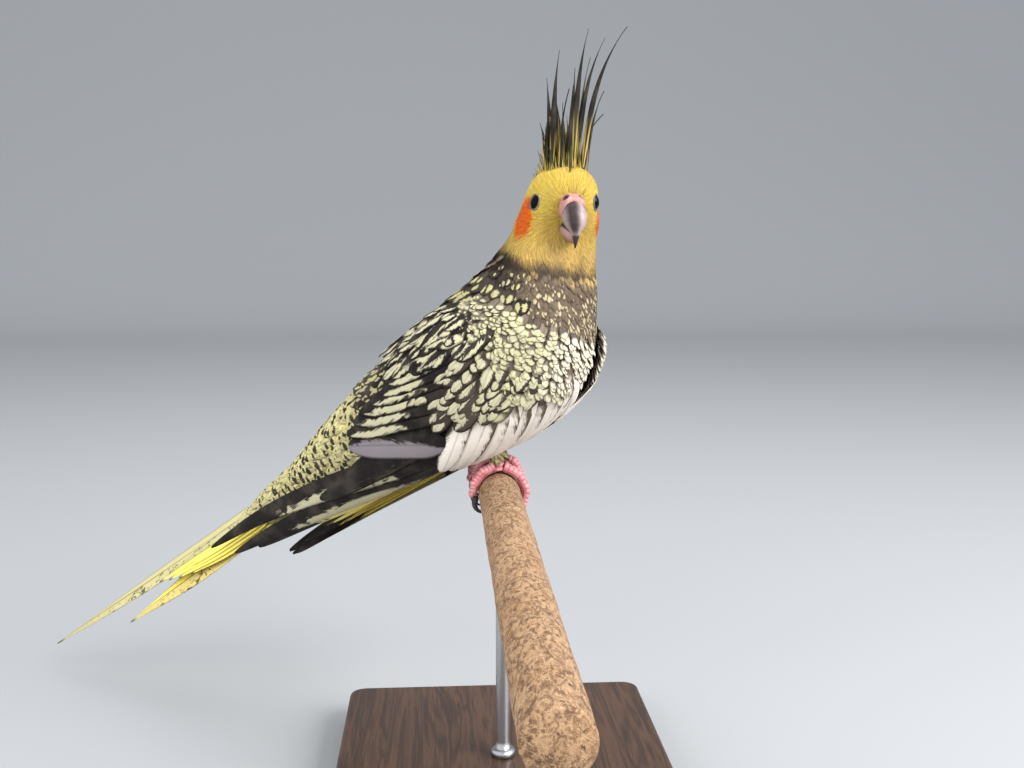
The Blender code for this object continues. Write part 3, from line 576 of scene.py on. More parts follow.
def spread(surface, count, t_span, angle_span):
    """Evenly spread places: a two-number golden sequence pushed through the area's running sums."""
    cells = 64
    t = np.linspace(*t_span, cells)[:, None]
    angle = np.linspace(*angle_span, cells)[None]
    t, angle = np.broadcast_arrays(t, angle)
    along_t = surface(t + 0.02, angle) - surface(t - 0.02, angle)
    along_a = surface(t, angle + 1.0) - surface(t, angle - 1.0)
    area = np.linalg.norm(np.cross(along_t, along_a), axis=-1)
    rows = np.concatenate([[0], area.sum(1).cumsum()])
    columns = area.cumsum(1) / area.sum(1, keepdims=True)
    flat = np.concatenate([[0], (columns + np.arange(cells)[:, None]).ravel()])
    n = np.arange(count)
    p = (0.5 + n * 0.7548776662466927) % 1
    q = (0.5 + n * 0.5698402909980532) % 1
    row = np.interp(p, rows / rows[-1], np.arange(cells + 1))
    i = np.minimum(row.astype(int), cells - 1)
    column = np.interp(q + i, flat, np.arange(cells * cells + 1)) - i * cells
    low_t, high_t = t_span
    low_a, high_a = angle_span
    return low_t + (high_t - low_t) * row / cells, low_a + (high_a - low_a) * column / cells


def lay_of(t, angle):
    """The way feathers lie: to the tail on the trunk, and away from the bill on the head."""
    here = hide(t, angle)
    back = hide(t - 0.05, angle) - here
    on_head = in_head(here)
    away = on_head - np.array([13.0, 0.0, 91.0])
    away = unit(away) + np.array([-0.75, 0.0, -0.25])
    crown = ease(on_head[..., 2], 99.0, 105.0)[..., None]
    away = away + crown * np.array([-0.5, 0.0, 0.9])
    c, s = math.cos(HEAD_TURN), math.sin(HEAD_TURN)
    ahead, left, up = np.moveaxis(away, -1, 0)
    away = np.stack([ahead * c + left * s, -ahead * s + left * c, up], -1)
    share = ease(t, 9.0, 11.0)[..., None]
    return unit(unit(back) * (1 - share) + unit(away) * share)


def mixed(a, b, share):
    """Colour a turned into b by a share for each place."""
    share = np.asarray(share, float)[..., None]
    return np.asarray(a, float) * (1 - share) + np.asarray(b, float) * share


def wave(points, scale):
    """A soft pattern from -1 to 1: the mean of three crossed sine waves with that many mm each."""
    x, y, z = points[..., 0], points[..., 1], points[..., 2]
    k = 2 * math.pi / scale
    first = np.sin(k * (x + 0.6 * y))
    second = np.sin(k * (y * 1.1 - 0.7 * z) + 1.0)
    return (first + second + np.sin(k * (z * 0.9 + 0.5 * x) + 2.0)) / 3


def from_front(angle):
    """How far round from the belly's middle line an angle is."""
    return np.abs((np.asarray(angle) + 360.0) % 360.0 - 180.0)


def plumage(t, angle):
    """The body's markings: the ground colour of skin and feathers at places on the body.

    Taupe in front and umber behind turn to straw on the rump and to yellow on the hood; the cheek
    is an ellipse, (from its middle / half width)^2 + (height / half height)^2 below 1."""
    here = hide(t, angle)
    place = in_head(here)
    ahead, height = place[..., 0], place[..., 2]
    round_it = from_front(angle)
    dorsal = ease(round_it, 70.0, 105.0)
    hood_end = 9.2 + 0.65 * ease(round_it, 60.0, 110.0) + 0.2 * wave(here, 9.0)
    hood = ease(t, hood_end - 0.3, hood_end + 0.3)
    colour = mixed(TAUPE, UMBER, dorsal)
    rump = ease(-t, -5.4, -4.2)
    colour = mixed(colour, STRAW, rump * (0.35 + 0.65 * dorsal))
    vent = ease(-t, -4.6, -3.0) * (1 - dorsal)
    colour = mixed(colour, mixed(TAUPE, STRAW, 0.5), vent)
    yellow = mixed(LEMON, PRIMROSE, ease(-height, -90.0, -76.0) * 0.6)
    throat = ease(-height, -86.0, -79.0) * ease(ahead, 2.0, 9.0)
    yellow = mixed(yellow, PEACH, 0.7 * throat)
    # The lower front of the face turned amber: partly the bird's own warmer yellow, partly painted
    # warm shade of the shadowed lower face.
    amber_and_warm_shade = ease(-height, -95.0, -88.0) * ease(ahead, -6.0, 4.0)
    yellow = mixed(yellow, AMBER, 0.55 * amber_and_warm_shade)
    nape = ease(-ahead, 6.0, 13.0) * ease(height, 80.0, 96.0)
    yellow = mixed(yellow, OLIVE, 0.25 * nape)
    colour = mixed(colour, yellow, hood)
    aside = np.abs(np.degrees(np.arctan2(place[..., 1], ahead)))
    cheek = ((aside - 69.0 - 0.6 * (height - 92.0)) / 18.0) ** 2 + ((height - 92.3) / 6.4) ** 2
    cheek = (1 - ease(cheek, 0.7, 1.25)) * ease(t, 9.4, 9.8)
    return mixed(colour, ORANGE, cheek)


class Value:
    """A number socket of a finish's nodes; the usual operators on it add Math nodes."""

    def __init__(self, finish, socket):
        self.finish, self.socket = finish, socket

    def math(self, operation, *numbers):
        """A Math node on the numbers."""
        return self.finish.add(
            "ShaderNodeMath", {"operation": operation}, dict(enumerate(numbers))
        )

    def __add__(self, other):
        return self.math("ADD", self, other)

    def __sub__(self, other):
        return self.math("SUBTRACT", self, other)

    def __mul__(self, other):
        return self.math("MULTIPLY", self, other)

    def __truediv__(self, other):
        return self.math("DIVIDE", self, other)

    def __rsub__(self, other):
        return self.math("SUBTRACT", other, self)

    def __abs__(self):
        return self.math("ABSOLUTE", self)

    __radd__ = __add__
    __rmul__ = __mul__

    def between(self, low, high):
        """0 below low, 1 above high, smooth in between."""
        sockets = {"Value": self, "From Min": low, "From Max": high}
        return self.finish.add("ShaderNodeMapRange", {"interpolation_type": "SMOOTHSTEP"}, sockets)

    def most(self, other):
        """The larger of the two."""
        return self.math("MAXIMUM", self, other)

    def sine(self):
        """The sine of an angle in radians."""
        return self.math("SINE", self)


class Finish:
    """A material built node by node, ending in one Principled shader."""

    def __init__(self, name):
        self.material = bpy.data.materials.new(name)
        self.material.use_nodes = True
        self.tree = self.material.node_tree
        self.tree.nodes.clear()

    def add(self, kind, settings=None, sockets=None, out=0):
        """Adds a node, sets its settings, then gives each socket its value or link."""
        node = self.tree.nodes.new(kind)
        for key, value in (settings or {}).items():
            setattr(node, key, value)
        for key, value in (sockets or {}).items():
            if isinstance(value, Value):
                self.tree.links.new(value.socket, node.inputs[key])
            elif isinstance(value, tuple) and len(value) == 3 and node.inputs[key].type == "RGBA":
                node.inputs[key].default_value = (*value, 1.0)
            else:
                node.inputs[key].default_value = value
        return Value(self, node.outputs[out])

    def place(self):
        """Object coordinates, in metres of the model's frame."""
        return self.add("ShaderNodeTexCoord", out="Object")

    def stretched(self, scale):
        """Object coordinates with a scale for each axis."""
        return self.add("ShaderNodeMapping", {}, {"Vector": self.place(), "Scale": scale})

    def split(self, vector):
        """The three numbers of a vector."""
        parts = self.add("ShaderNodeSeparateXYZ", {}, {0: vector})
        node = parts.socket.node
        return [Value(self, node.outputs[i]) for i in range(3)]

    def carried(self, name, out="Fac"):
        """An attribute of the mesh."""
        return self.add("ShaderNodeAttribute", {"attribute_name": name}, out=out)

    def vane(self):
        """The place on a feather: across from -1 to 1, and along from 0 to 1."""
        across, along, _ = self.split(self.add("ShaderNodeUVMap", {"uv_map": "Vane"}))
        return across * 2.0 - 1.0, along

    def noise(self, scale, vector=None, detail=2.0, roughness=0.5, distortion=0.0):
        """A noise from 0 to 1; scale is its features to a metre."""
        sockets = {"Scale": scale, "Detail": detail, "Roughness": roughness}
        sockets.update({"Distortion": distortion, "Vector": vector or self.place()})
        return self.add("ShaderNodeTexNoise", {}, sockets)

    def cells(self, scale, vector=None):
        """The distance to the nearest of scattered points."""
        sockets = {"Scale": scale, "Vector": vector or self.place(), "Randomness": 1.0}
        return self.add("ShaderNodeTexVoronoi", {"feature": "F1"}, sockets, "Distance")

    def mix(self, share, a, b, way="MIX"):
        """Colour a turned into b by a share."""
        settings = {"data_type": "RGBA", "blend_type": way, "clamp_factor": True}
        return self.add("ShaderNodeMix", settings, {0: share, 6: a, 7: b}, 2)

    def bump(self, height, depth):
        """A bump of a height pattern, depth in metres."""
        sockets = {"Height": height, "Distance": depth, "Strength": 1.0}
        return self.add("ShaderNodeBump", {}, sockets)

    def end(self, **sockets):
        """The Principled shader and the output; underscores in names stand for spaces."""
        named = {key.replace("_", " "): value for key, value in sockets.items()}
        shader = self.add("ShaderNodeBsdfPrincipled", {}, named)
        output = self.tree.nodes.new("ShaderNodeOutputMaterial")
        self.tree.links.new(shader.socket, output.inputs["Surface"])
        return self.material


def feather_finish(name, barbs, depth=0.00006, shaft=0.25, lines=0.12, ragged=1.0):
    """A feather: its ground colour, a mark of its own with a frayed edge, slanting barbs, a shaft,
    dust and fine pale streaks.

    The mark is 1 inside an uneven oval: ((across - x0)/wx)^2 + ((along - s0)/ws)^2 < 1."""
    f = Finish(name)
    across, along = f.vane()
    ground, mark = f.carried("ground", "Color"), f.carried("mark", "Color")
    x0, s0, paired = f.split(f.carried("spot", "Vector"))
    wide, tall, soft = f.split(f.carried("form", "Vector"))
    slant = (along * barbs - abs(across) * barbs * 0.22) * (2 * math.pi)
    seat = f.add("ShaderNodeCombineXYZ", {}, {0: slant * 0.16, 1: across * 1.4, 2: s0 * 90.0})
    fray = (f.noise(1.0, seat, detail=2.0, roughness=0.7) - 0.5) * ragged
    uneven = (f.noise(300.0, detail=1.0) - 0.5) * ragged
    folded_across = abs(across) * paired + across * (1.0 - paired)
    off_x = (folded_across - x0 + fray * 0.7 + uneven * 0.5) / wide.most(0.001)
    off_s = (along - s0 + uneven * 0.18 + fray * 0.16) / tall.most(0.001)
    inside = 1.0 - (off_x * off_x + off_s * off_s).between(1.0 - soft, 1.0 + soft)
    inside = inside * wide.between(0.0, 0.01)
    colour = f.mix(inside, ground, mark)
    barb = (slant + uneven * 5.0).sine() * 0.5 + 0.5
    dust = f.noise(140.0, detail=2.0).between(0.4, 0.7)
    colour = f.mix(dust * 0.10, colour, (0.30, 0.25, 0.19))
    colour = f.mix(barb * lines, colour, (0.02, 0.016, 0.014))
    middle = 1.0 - abs(across).between(0.02, 0.11)
    colour = f.mix(middle * shaft, colour, (0.03, 0.024, 0.02))
    streak = f.noise(2600.0, detail=1.0)
    colour = f.mix(streak.between(0.35, 0.75) * 0.14, colour, (1.0, 0.96, 0.86), "SOFT_LIGHT")
    height = barb * 0.5 + middle * 1.4 + streak * 0.6
    return f.end(
        Base_Color=colour,
        Roughness=f.noise(500.0) * 0.2 + 0.62,
        Normal=f.bump(height, depth),
        Specular_IOR_Level=0.12,
    )


def skin_finish():
    """The skin under the coat: the coat's own markings, mottled darker by the down, with a downy
    bump. On the head its colour comes in darkened, as painted shade under the hood's feathers.
    """
    f = Finish("downy_skin")
    down = f.noise(1500.0, detail=4.0)
    colour = f.mix(down * 0.15, f.carried("ground", "Color"), (0.03, 0.022, 0.014))
    return f.end(Base_Color=colour, Roughness=0.85, Normal=f.bump(down, 0.0004))


def horn_finish(name, pale, dark, dark_from, dark_to):
    """Horn: a pale mauve keratin with growth lines across it, grey flecks and a dark end. A dark
    band over the ridge and the bird's right side is partly the horn's own colour, partly painted
    shade on the side turned from the light. The dark end is the upper bill's own tip; on the lower
    bill it lies along the top edge, as painted shadow under the upper bill.
    """
    f = Finish(name)
    across, along = f.vane()
    clouds = f.noise(260.0, detail=3.0, distortion=0.5)
    lines = f.noise(160.0, f.stretched((1.0, 1.0, 6.0)), detail=2.0)
    colour = f.mix(clouds.between(0.4, 0.8) * 0.45, pale, dark)
    # Dark band over the ridge and the bird's right side: partly the horn's own colour, partly
    # painted shade on the side away from the window light.
    dark_band_and_shade = 1.0 - abs(across + 0.34).between(0.22, 0.85)
    colour = f.mix(dark_band_and_shade * (1.0 - along.between(0.62, 0.8) * 0.5), colour, dark)
    colour = f.mix((lines - 0.5).between(0.0, 0.25) * 0.04, colour, (0.55, 0.47, 0.48))
    # Darker past a point along the vane: the upper bill's own dark tip; on the lower bill, whose
    # vane runs round it, its top edge, as painted shadow under the upper bill.
    tip = (along + (clouds - 0.5) * 0.08).between(dark_from, dark_to)
    colour = f.mix(tip, colour, (0.03, 0.02, 0.018))
    height = lines * 0.1 + clouds * 0.4
    return f.end(
        Base_Color=colour,
        Roughness=clouds * 0.2 + 0.28,
        Normal=f.bump(height, 0.00012),
        Coat_Weight=0.06,
        Coat_Roughness=0.2,
        Specular_IOR_Level=0.35,
    )


def flesh_finish(name, pale, deep, scale, depth):
    """Bare skin: fine cobbles, flushed deeper in the creases."""
    f = Finish(name)
    cobbles = f.cells(scale)
    flush = f.noise(scale * 0.25, detail=3.0)
    colour = f.mix(flush.between(0.3, 0.75) * 0.7, pale, deep)
    colour = f.mix(cobbles.between(0.35, 0.9) * 0.4, colour, deep)
    # The nostrils' pits are painted near-black red: painted shade of the open nostrils in their
    # shallow dents.
    colour = f.mix(f.carried("pit").between(0.1, 0.9), colour, (0.045, 0.006, 0.005))
    return f.end(
        Base_Color=colour,
        Roughness=flush * 0.15 + 0.42,
        Normal=f.bump(1.0 - cobbles, depth),
        Subsurface_Weight=0.15,
        Subsurface_Radius=(0.002, 0.0008, 0.0005),
        Subsurface_Scale=1.0,
    )


def foot_finish():
    """Scaled toes: pale plates with deep pink skin between, set by the scale map along each toe."""
    f = Finish("scaled_pink_skin")
    plate = f.carried("plate")
    flush = f.noise(420.0, detail=3.0)
    grain = f.cells(2600.0)
    colour = f.mix(plate.between(0.25, 0.8), (0.34, 0.055, 0.070), (0.56, 0.23, 0.24))
    colour = f.mix(flush.between(0.4, 0.75) * 0.6, colour, (0.62, 0.34, 0.33))
    colour = f.mix(grain.between(0.4, 0.8) * 0.3, colour, (0.45, 0.10, 0.12))
    return f.end(
        Base_Color=colour,
        Roughness=0.62 - plate * 0.2,
        Normal=f.bump(plate * 0.8 + grain * 0.2, 0.00022),
        Subsurface_Weight=0.12,
        Subsurface_Radius=(0.002, 0.0007, 0.0005),
        Subsurface_Scale=1.0,
    )


def claw_finish():
    """Dark horn with fine, paler lines along the claw."""
    f = Finish("dark_claw_horn")
    lines = f.noise(1500.0, detail=3.0)
    colour = f.mix(lines.between(0.4, 0.8) * 0.5, (0.025, 0.018, 0.017), (0.12, 0.095, 0.085))
    return f.end(Base_Color=colour, Roughness=lines * 0.2 + 0.25, Normal=f.bump(lines, 0.00006))


def eye_finish():
    """A wet, near-black eye: a brown iris ring just paler than the pupil."""
    f = Finish("dark_glossy_eye")
    ring = f.carried("iris")
    speck = f.noise(3000.0, detail=2.0)
    brown = ring.between(0.5, 0.62) * (1.0 - ring.between(0.86, 0.96))
    colour = f.mix(brown, (0.0008, 0.0006, 0.0006), (0.003, 0.0015, 0.001))
    colour = f.mix(speck * 0.2, colour, (0.002, 0.002, 0.002))
    return f.end(Base_Color=colour, Roughness=0.06, Specular_IOR_Level=0.10)


def perch_finish():
    """A natural branch with pressed fibres: short curved strands, pits and darker patches."""
    f = Finish("fibrous_branch")
    bent = f.noise(90.0, detail=2.0)
    along = f.stretched((1.0, 0.5, 1.0))
    strands = f.noise(420.0, along, detail=5.0, roughness=0.65, distortion=1.6)
    fine = f.noise(1700.0, along, detail=3.0, distortion=1.5)
    pits = f.cells(420.0, f.stretched((1.0, 0.45, 1.0)))
    colour = f.mix(strands.between(0.38, 0.62), (0.12, 0.058, 0.026), (0.36, 0.215, 0.112))
    colour = f.mix(fine.between(0.5, 0.72) * 0.6, colour, (0.54, 0.37, 0.21))
    colour = f.mix(bent.between(0.5, 0.75) * 0.35, colour, (0.30, 0.15, 0.06))
    pit = 1.0 - pits.between(0.10, 0.24)
    colour = f.mix(pit * fine.between(0.45, 0.6), colour, (0.045, 0.022, 0.012))
    height = strands * 0.6 + fine * 0.35 - pit * 0.5
    return f.end(Base_Color=colour, Roughness=fine * 0.2 + 0.68, Normal=f.bump(height, 0.0005))


def base_finish():
    """Dark stained wood: growth rings stretched along the plate, pores, and a satin lacquer."""
    f = Finish("dark_stained_wood")
    rings = f.noise(60.0, f.stretched((2.2, 0.16, 2.2)), detail=5.0, distortion=0.6)
    pores = f.noise(900.0, f.stretched((2.0, 0.06, 2.0)), detail=2.0)
    grain = (rings * 42.0).sine() * 0.5 + 0.5
    colour = f.mix(grain * 0.7, (0.034, 0.015, 0.007), (0.085, 0.040, 0.019))
    colour = f.mix(pores.between(0.55, 0.7) * 0.6, colour, (0.022, 0.010, 0.006))
    return f.end(
        Base_Color=colour,
        Roughness=pores * 0.15 + 0.34,
        Normal=f.bump(grain * 0.3 - pores.between(0.55, 0.7) * 0.7, 0.00008),
        Coat_Weight=0.25,
        Coat_Roughness=0.25,
    )


def steel_finish():
    """Brushed steel: fine rings round each rod."""
    f = Finish("brushed_steel")
    rings = f.noise(400.0, f.stretched((1.0, 1.0, 14.0)), detail=3.0)
    smear = f.noise(120.0, detail=2.0)
    colour = f.mix(rings * 0.5, (0.56, 0.56, 0.57), (0.40, 0.40, 0.41))
    return f.end(
        Base_Color=colour,
        Metallic=1.0,
        Roughness=rings * 0.18 + smear * 0.08 + 0.2,
        Normal=f.bump(rings, 0.00003),
    )


def body_place(t, angle):
    """Places on the unwrap of the body: round it, and along it."""
    return np.stack([(np.asarray(angle) % 360.0) / 360.0, 0.02 + 0.96 * np.asarray(t) / 16.0], -1)


def circle(count):
    """Even steps round a circle, in radians."""
    return np.linspace(0, 2 * math.pi, count, endpoint=False)


def thigh_axis(side):
    """Where the thigh leaves the belly and where it ends over the foot."""
    aside = side * FOOT_SPACING / 2
    knee = np.array([aside * math.sin(BODY_YAW) - 0.8, aside * math.cos(BODY_YAW), 6.4])
    return np.array([-6.0, aside, 24.0]), knee


def make_skin():
    """One skin from the tail's root to the crown, with the arms' pads and the thighs on it.

    Each stretch is a closed grid of rings. The skin lies inside the solids, by SKIN_DEPTH on the
    trunk and HEAD_SKIN_DEPTH on the head."""
    mesh = Mesh()
    t = np.linspace(0, 16, 150)[:, None]
    angle = np.linspace(0, 360, 120, endpoint=False)[None]
    t, angle = np.broadcast_arrays(t, angle)
    grid = hide(t, angle, -SKIN_DEPTH + (SKIN_DEPTH - HEAD_SKIN_DEPTH) * ease(t, 9.0, 10.0))
    # On the head the coat's colour is halved as painted shade: where skin shows between the hood's
    # feathers it stands in for the shadow under them.
    shade = plumage(t, angle) * (1 - 0.5 * ease(t, 9.0, 10.0))[..., None]
    add_tube(mesh, stand_up(grid), True, OFBake=body_place(t, angle), ground=shade)
    for side in (1, -1):
        t, share = np.linspace(7.2, 9.3, 30)[:, None], np.linspace(0, 1, 25)[None]
        t, share = np.broadcast_arrays(t, share)
        row = rows_at(SHIELD, np.interp(t, SHIELD[:, 0], np.arange(len(SHIELD))))
        angle = row[..., 1] + (row[..., 2] - row[..., 1]) * share
        outer = padded_arm(side)(t, angle, -SKIN_DEPTH * 0.6)
        inner = folded(side)(t, angle, -2.4)[:, ::-1]
        ring = np.concatenate([outer, inner], 1)
        shade = np.broadcast_to(np.array(UMBER), ring.shape)
        there_and_back = np.concatenate([angle, angle[:, ::-1]], 1)
        place = np.stack([there_and_back / 360.0, np.concatenate([t, t], 1) / 16.0], -1)
        add_tube(mesh, stand_up(ring), side < 0, OFBake=place, ground=shade)
        belly, knee = thigh_axis(side)
        s = np.linspace(0, 1, 24)
        ring = tube_rings(belly + (knee - belly) * s[:, None], np.interp(s, *THIGH) - 0.9, 32)
        shade = np.broadcast_to(mixed(TAUPE, STRAW, 0.35), ring.shape)
        place = np.broadcast_to(np.array([0.5, 0.3]), (*ring.shape[:2], 2))
        add_tube(mesh, stand_up(ring), False, OFBake=place, ground=shade)
    flesh = ("head", "neck", "torso", "rump", "leg_left", "leg_right")
    mesh.build("skin", skin_finish(), "grey_feather", flesh)


def tube_rings(centres, radii, sides):
    """Rings square to a path: radius x (cos, sin) on two ways across it, the first of them from
    one fixed guide for the whole path."""
    along = unit(np.gradient(centres, axis=0))
    guide = np.array([0.0, 1.0, 0.0]) if abs(along[0, 1]) < 0.9 else np.array([1.0, 0.0, 0.0])
    first = unit(guide - along * dot(guide + 0 * along, along))
    second = np.cross(along, first)
    b = circle(sides)[None, :, None]
    round_it = first[:, None] * np.cos(b) + second[:, None] * np.sin(b)
    radii = np.broadcast_to(np.asarray(radii, float), len(centres))
    return centres[:, None] + round_it * radii[:, None, None]


def cuts(count, bunch):
    """Steps from 0 to 1, closer together towards the tip as the sine of an even step."""
    s = np.linspace(0, 1, count)
    return (1 - bunch) * s + bunch * np.sin(s * math.pi / 2)


def even(t, angle):
    """The same size everywhere."""
    return 1.0


def dress_body(
    mesh, seed, count, t_span, angle_span, length, half_width, rise, keep,
    scale=even, stray=0.07, tone=0.12, columns=3, steps=5, outline=rounded, camber=0.3,
    thick=0.12, jumble=0.1, shade=1.0, paint=None, patch=0.003, soft=False,
):
    """Small feathers over a stretch of the body, each varied a little in size, lie and colour."""
    rng = np.random.default_rng(seed)
    t, angle = spread(hide, count, t_span, angle_span)
    t = t + rng.normal(0, 0.012, count)
    angle = angle + rng.normal(0, 0.8, count)
    kept = keep(t, angle)
    t, angle = t[kept], angle[kept]
    n = len(t)
    size = 1 + rng.normal(0, 0.1, n)
    way = lay_of(t, angle) + rng.normal(0, stray, (n, 3))
    scale = scale(t, angle)
    low, high = rise
    high = high * scale + rng.normal(0, jumble, n)
    top, under = lay_feathers(
        hide, t, angle, way, length * size * scale, half_width * size * scale,
        cuts(steps, 0.6), columns, outline, (np.full(n, low), high), camber * scale, thick,
    )
    # shade below 1 darkens the colour; the hood's coats use it as painted shade.
    ground = plumage(t, angle) * shade * (1 + rng.normal(0, tone, (n, 1)))
    mark, spot, form = ground, *PLAIN
    if paint:
        ground, mark, spot, form = paint(t, angle, ground, rng)
    normals = 1000.0 * axes_on(hide, t, angle)[2] if soft else None
    ground = np.clip(ground, 0.004, 0.95)
    add_feathers(
        mesh, top, under, body_place(t, angle), patch, ground, mark, spot, form, normals
    )


def eye_place(side):
    """The point on the head over an eye, the way out of it, and the angle and section there."""
    t = 12.0 + (EYE_HEIGHT - BODY[12][1]) / (BODY[13][1] - BODY[12][1])
    angle = 180.0 - side * EYE_ANGLE
    here = hide(t, angle)
    over = hide(t, angle + 3) - hide(t, angle - 3)
    up = hide(t + 0.2, angle) - hide(t - 0.2, angle)
    out = unit(np.cross(over, up))
    if np.dot(out, here - head_point(0.0, 0.0, EYE_HEIGHT)) < 0:
        out = -out
    return here, out


def clear_of_face(t, angle):
    """True where a feather's root is clear of the bill, the cere and the bare rings of the eyes."""
    here = hide(t, angle)
    ahead, left, height = np.moveaxis(in_head(here), -1, 0)
    bill = (ahead > 6.0) & (np.abs(left) < 3.7) & (height > 84.4) & (height < 99.0)
    clear = ~bill
    for side in (1, -1):
        centre, _ = eye_place(side)
        clear &= np.linalg.norm(here - centre, axis=-1) > LID_RING[0]
    return clear


def head_scale(t, angle):
    """Feathers grow smaller towards the bill and the eyes."""
    place = in_head(hide(t, angle))
    near = np.linalg.norm(place - np.array([12.5, 0.0, 90.0]), axis=-1)
    return 0.45 + 0.55 * ease(near, 5.0, 20.0)


def make_head_coat():
    """The hood: short overlapping feathers under two loose layers of hair-like ones."""
    finish = feather_finish("hood_feather", 12.0, depth=0.00003, shaft=0.05, lines=0.03)
    mesh = Mesh()
    # The hood's colours are darkened as painted shade: this under layer most, to 0.45, so its gaps
    # under the loose strands read as shadow.
    dress_body(
        mesh, 11, 3900, (8.5, 15.9), (0.0, 360.0), 5.0, 1.35, (-0.3, 0.10), clear_of_face,
        scale=head_scale, tone=0.03, camber=0.02, soft=True, jumble=0.04, shade=0.45,
    )
    mesh.build("coat_hood", finish, "yellow_feather")
    for seed, name in ((12, "coat_hood_loose"), (13, "coat_hood_wisps")):
        mesh = Mesh()
        # The loose strands are darkened to 0.64 as painted shade, standing in for the shading
        # between the strands.
        dress_body(
            mesh, seed, 7800, (8.7, 15.7 + 0.01 * seed), (0.0, 360.0), 4.6, 0.17, (0.0, 0.38),
            clear_of_face, scale=head_scale, stray=0.13, tone=0.13, shade=0.64, steps=3,
            outline=pointed, camber=0.0, thick=0.07, soft=True, jumble=0.06,
        )
        mesh.build(name, finish, "yellow_feather")


def breast_marks(t, angle, ground, rng):
    """Cream drops on taupe, denser to the front and lower on the breast."""
    front = 1 - ease(from_front(angle), 30.0, 110.0)
    amount = 0.35 + 0.6 * front * ease(-t, -8.6, -7.0)
    drawn = rng.random(len(t)) < amount
    size = drawn * (0.7 + 0.3 * rng.random(len(t)))
    hood = ease(t, 8.5, 9.1)
    size = size * (1 - hood)
    none = np.zeros(len(t))
    mark = mixed((0.42, 0.34, 0.19), (0.50, 0.42, 0.28), rng.random(len(t)))
    spot = np.stack([none, none + 0.68, none], -1)
    form = np.stack([0.75 * size, 0.24 * size + 0.01, none + 0.6], -1)
    return ground, mark, spot, form


def on_front(t, angle):
    """True on the breast, the belly and the flanks."""
    return from_front(angle) < 112.0 - 10.0 * ease(t, 8.0, 9.0)


def make_breast_coat():
    """The breast, belly and flanks: soft narrow feathers."""
    finish = feather_finish("breast_feather", 14.0, shaft=0.08, lines=0.10)
    mesh = Mesh()
    dress_body(
        mesh, 21, 3900, (5.4, 9.1), (60.0, 300.0), 7.0, 1.15, (-1.0, 0.7), on_front,
        tone=0.09, paint=breast_marks, steps=6, camber=0.12, soft=True, jumble=0.06,
    )
    mesh.build("coat_breast", finish, "grey_feather")
    mesh = Mesh()
    dress_body(
        mesh, 22, 1900, (1.2, 5.6), (70.0, 290.0), 9.0, 2.0, (-1.0, 0.7), on_front,
        stray=0.10, tone=0.14, paint=breast_marks, steps=6, soft=True,
    )
    mesh.build("coat_belly", finish, "grey_feather")


def mantle_marks(t, angle, ground, rng):
    """Large cream-yellow spots, one to a feather, with dark ground showing round them."""
    n = len(t)
    none = np.zeros(n)
    neck = ease(t, 8.6, 9.3)
    ground = mixed(SLATE, UMBER, rng.random(n))
    ground = ground * (1 - neck[:, None]) + neck[:, None] * np.array(TAUPE)
    mark = mixed((0.42, 0.38, 0.16), (0.36, 0.33, 0.20), rng.random(n))
    size = (0.40 + 0.45 * rng.random(n)) * (1 - 0.9 * neck)
    both = (rng.random(n) < 0.75) * 1.0
    aside = np.where(both > 0, 0.46, rng.normal(0, 0.3, n))
    spot = np.stack([aside, 0.70 + rng.normal(0, 0.06, n), both], -1)
    form = np.stack([(0.56 - 0.18 * both) * size, 0.26 * size, none + 0.3], -1)
    return ground, mark, spot, form


def rump_marks(t, angle, ground, rng):
    """Pale yellow with dark bars across, thinning out towards the tail."""
    n = len(t)
    none = np.zeros(n)
    front = ease(t, 3.6, 5.6)
    ground = mixed(mixed(STRAW, CREAM, 0.4), SLATE, front * 0.5)
    ground = ground * (1 + rng.normal(0, 0.06, (n, 1)))
    flip = rng.random(n)
    size = np.where(flip < 0.75, 0.6 + 0.5 * rng.random(n), 0.25)
    size = size * (0.45 + 0.55 * ease(t, 0.4, 2.6))
    spot = np.stack([none + rng.normal(0, 0.15, n), 0.72 + rng.normal(0, 0.05, n), none], -1)
    form = np.stack([1.05 * size, 0.11 * size, none + 0.35], -1)
    return ground, np.broadcast_to(np.array((0.03, 0.026, 0.018)), (n, 3)), spot, form


def on_back(low):
    """A rule that is true further round from the front than low."""
    return lambda t, angle: from_front(angle) > low


def mantle_scale(t, angle):
    """Mantle feathers grow smaller up the neck."""
    return 1.0 - 0.55 * ease(t, 7.4, 9.2)


def make_back_coat():
    """The mantle's scalloped feathers, and the barred ones of the rump and the tail's coverts."""
    mesh = Mesh()
    dress_body(
        mesh, 31, 430, (4.4, 9.4), (-100.0, 100.0), 12.5, 4.3, (-0.8, 1.5), on_back(66.0),
        scale=mantle_scale, stray=0.05, paint=mantle_marks, columns=7, steps=9, patch=0.02,
        camber=0.7, thick=0.16,
    )
    dress_body(
        mesh, 32, 860, (-0.2, 5.0), (-130.0, 130.0), 10.0, 2.6, (-0.8, 1.0), on_back(50.0),
        paint=rump_marks, columns=5, steps=7, patch=0.012, camber=0.4, thick=0.14,
    )
    mesh.build("coat_back", feather_finish("back_feather", 26.0), "pearl_feather")


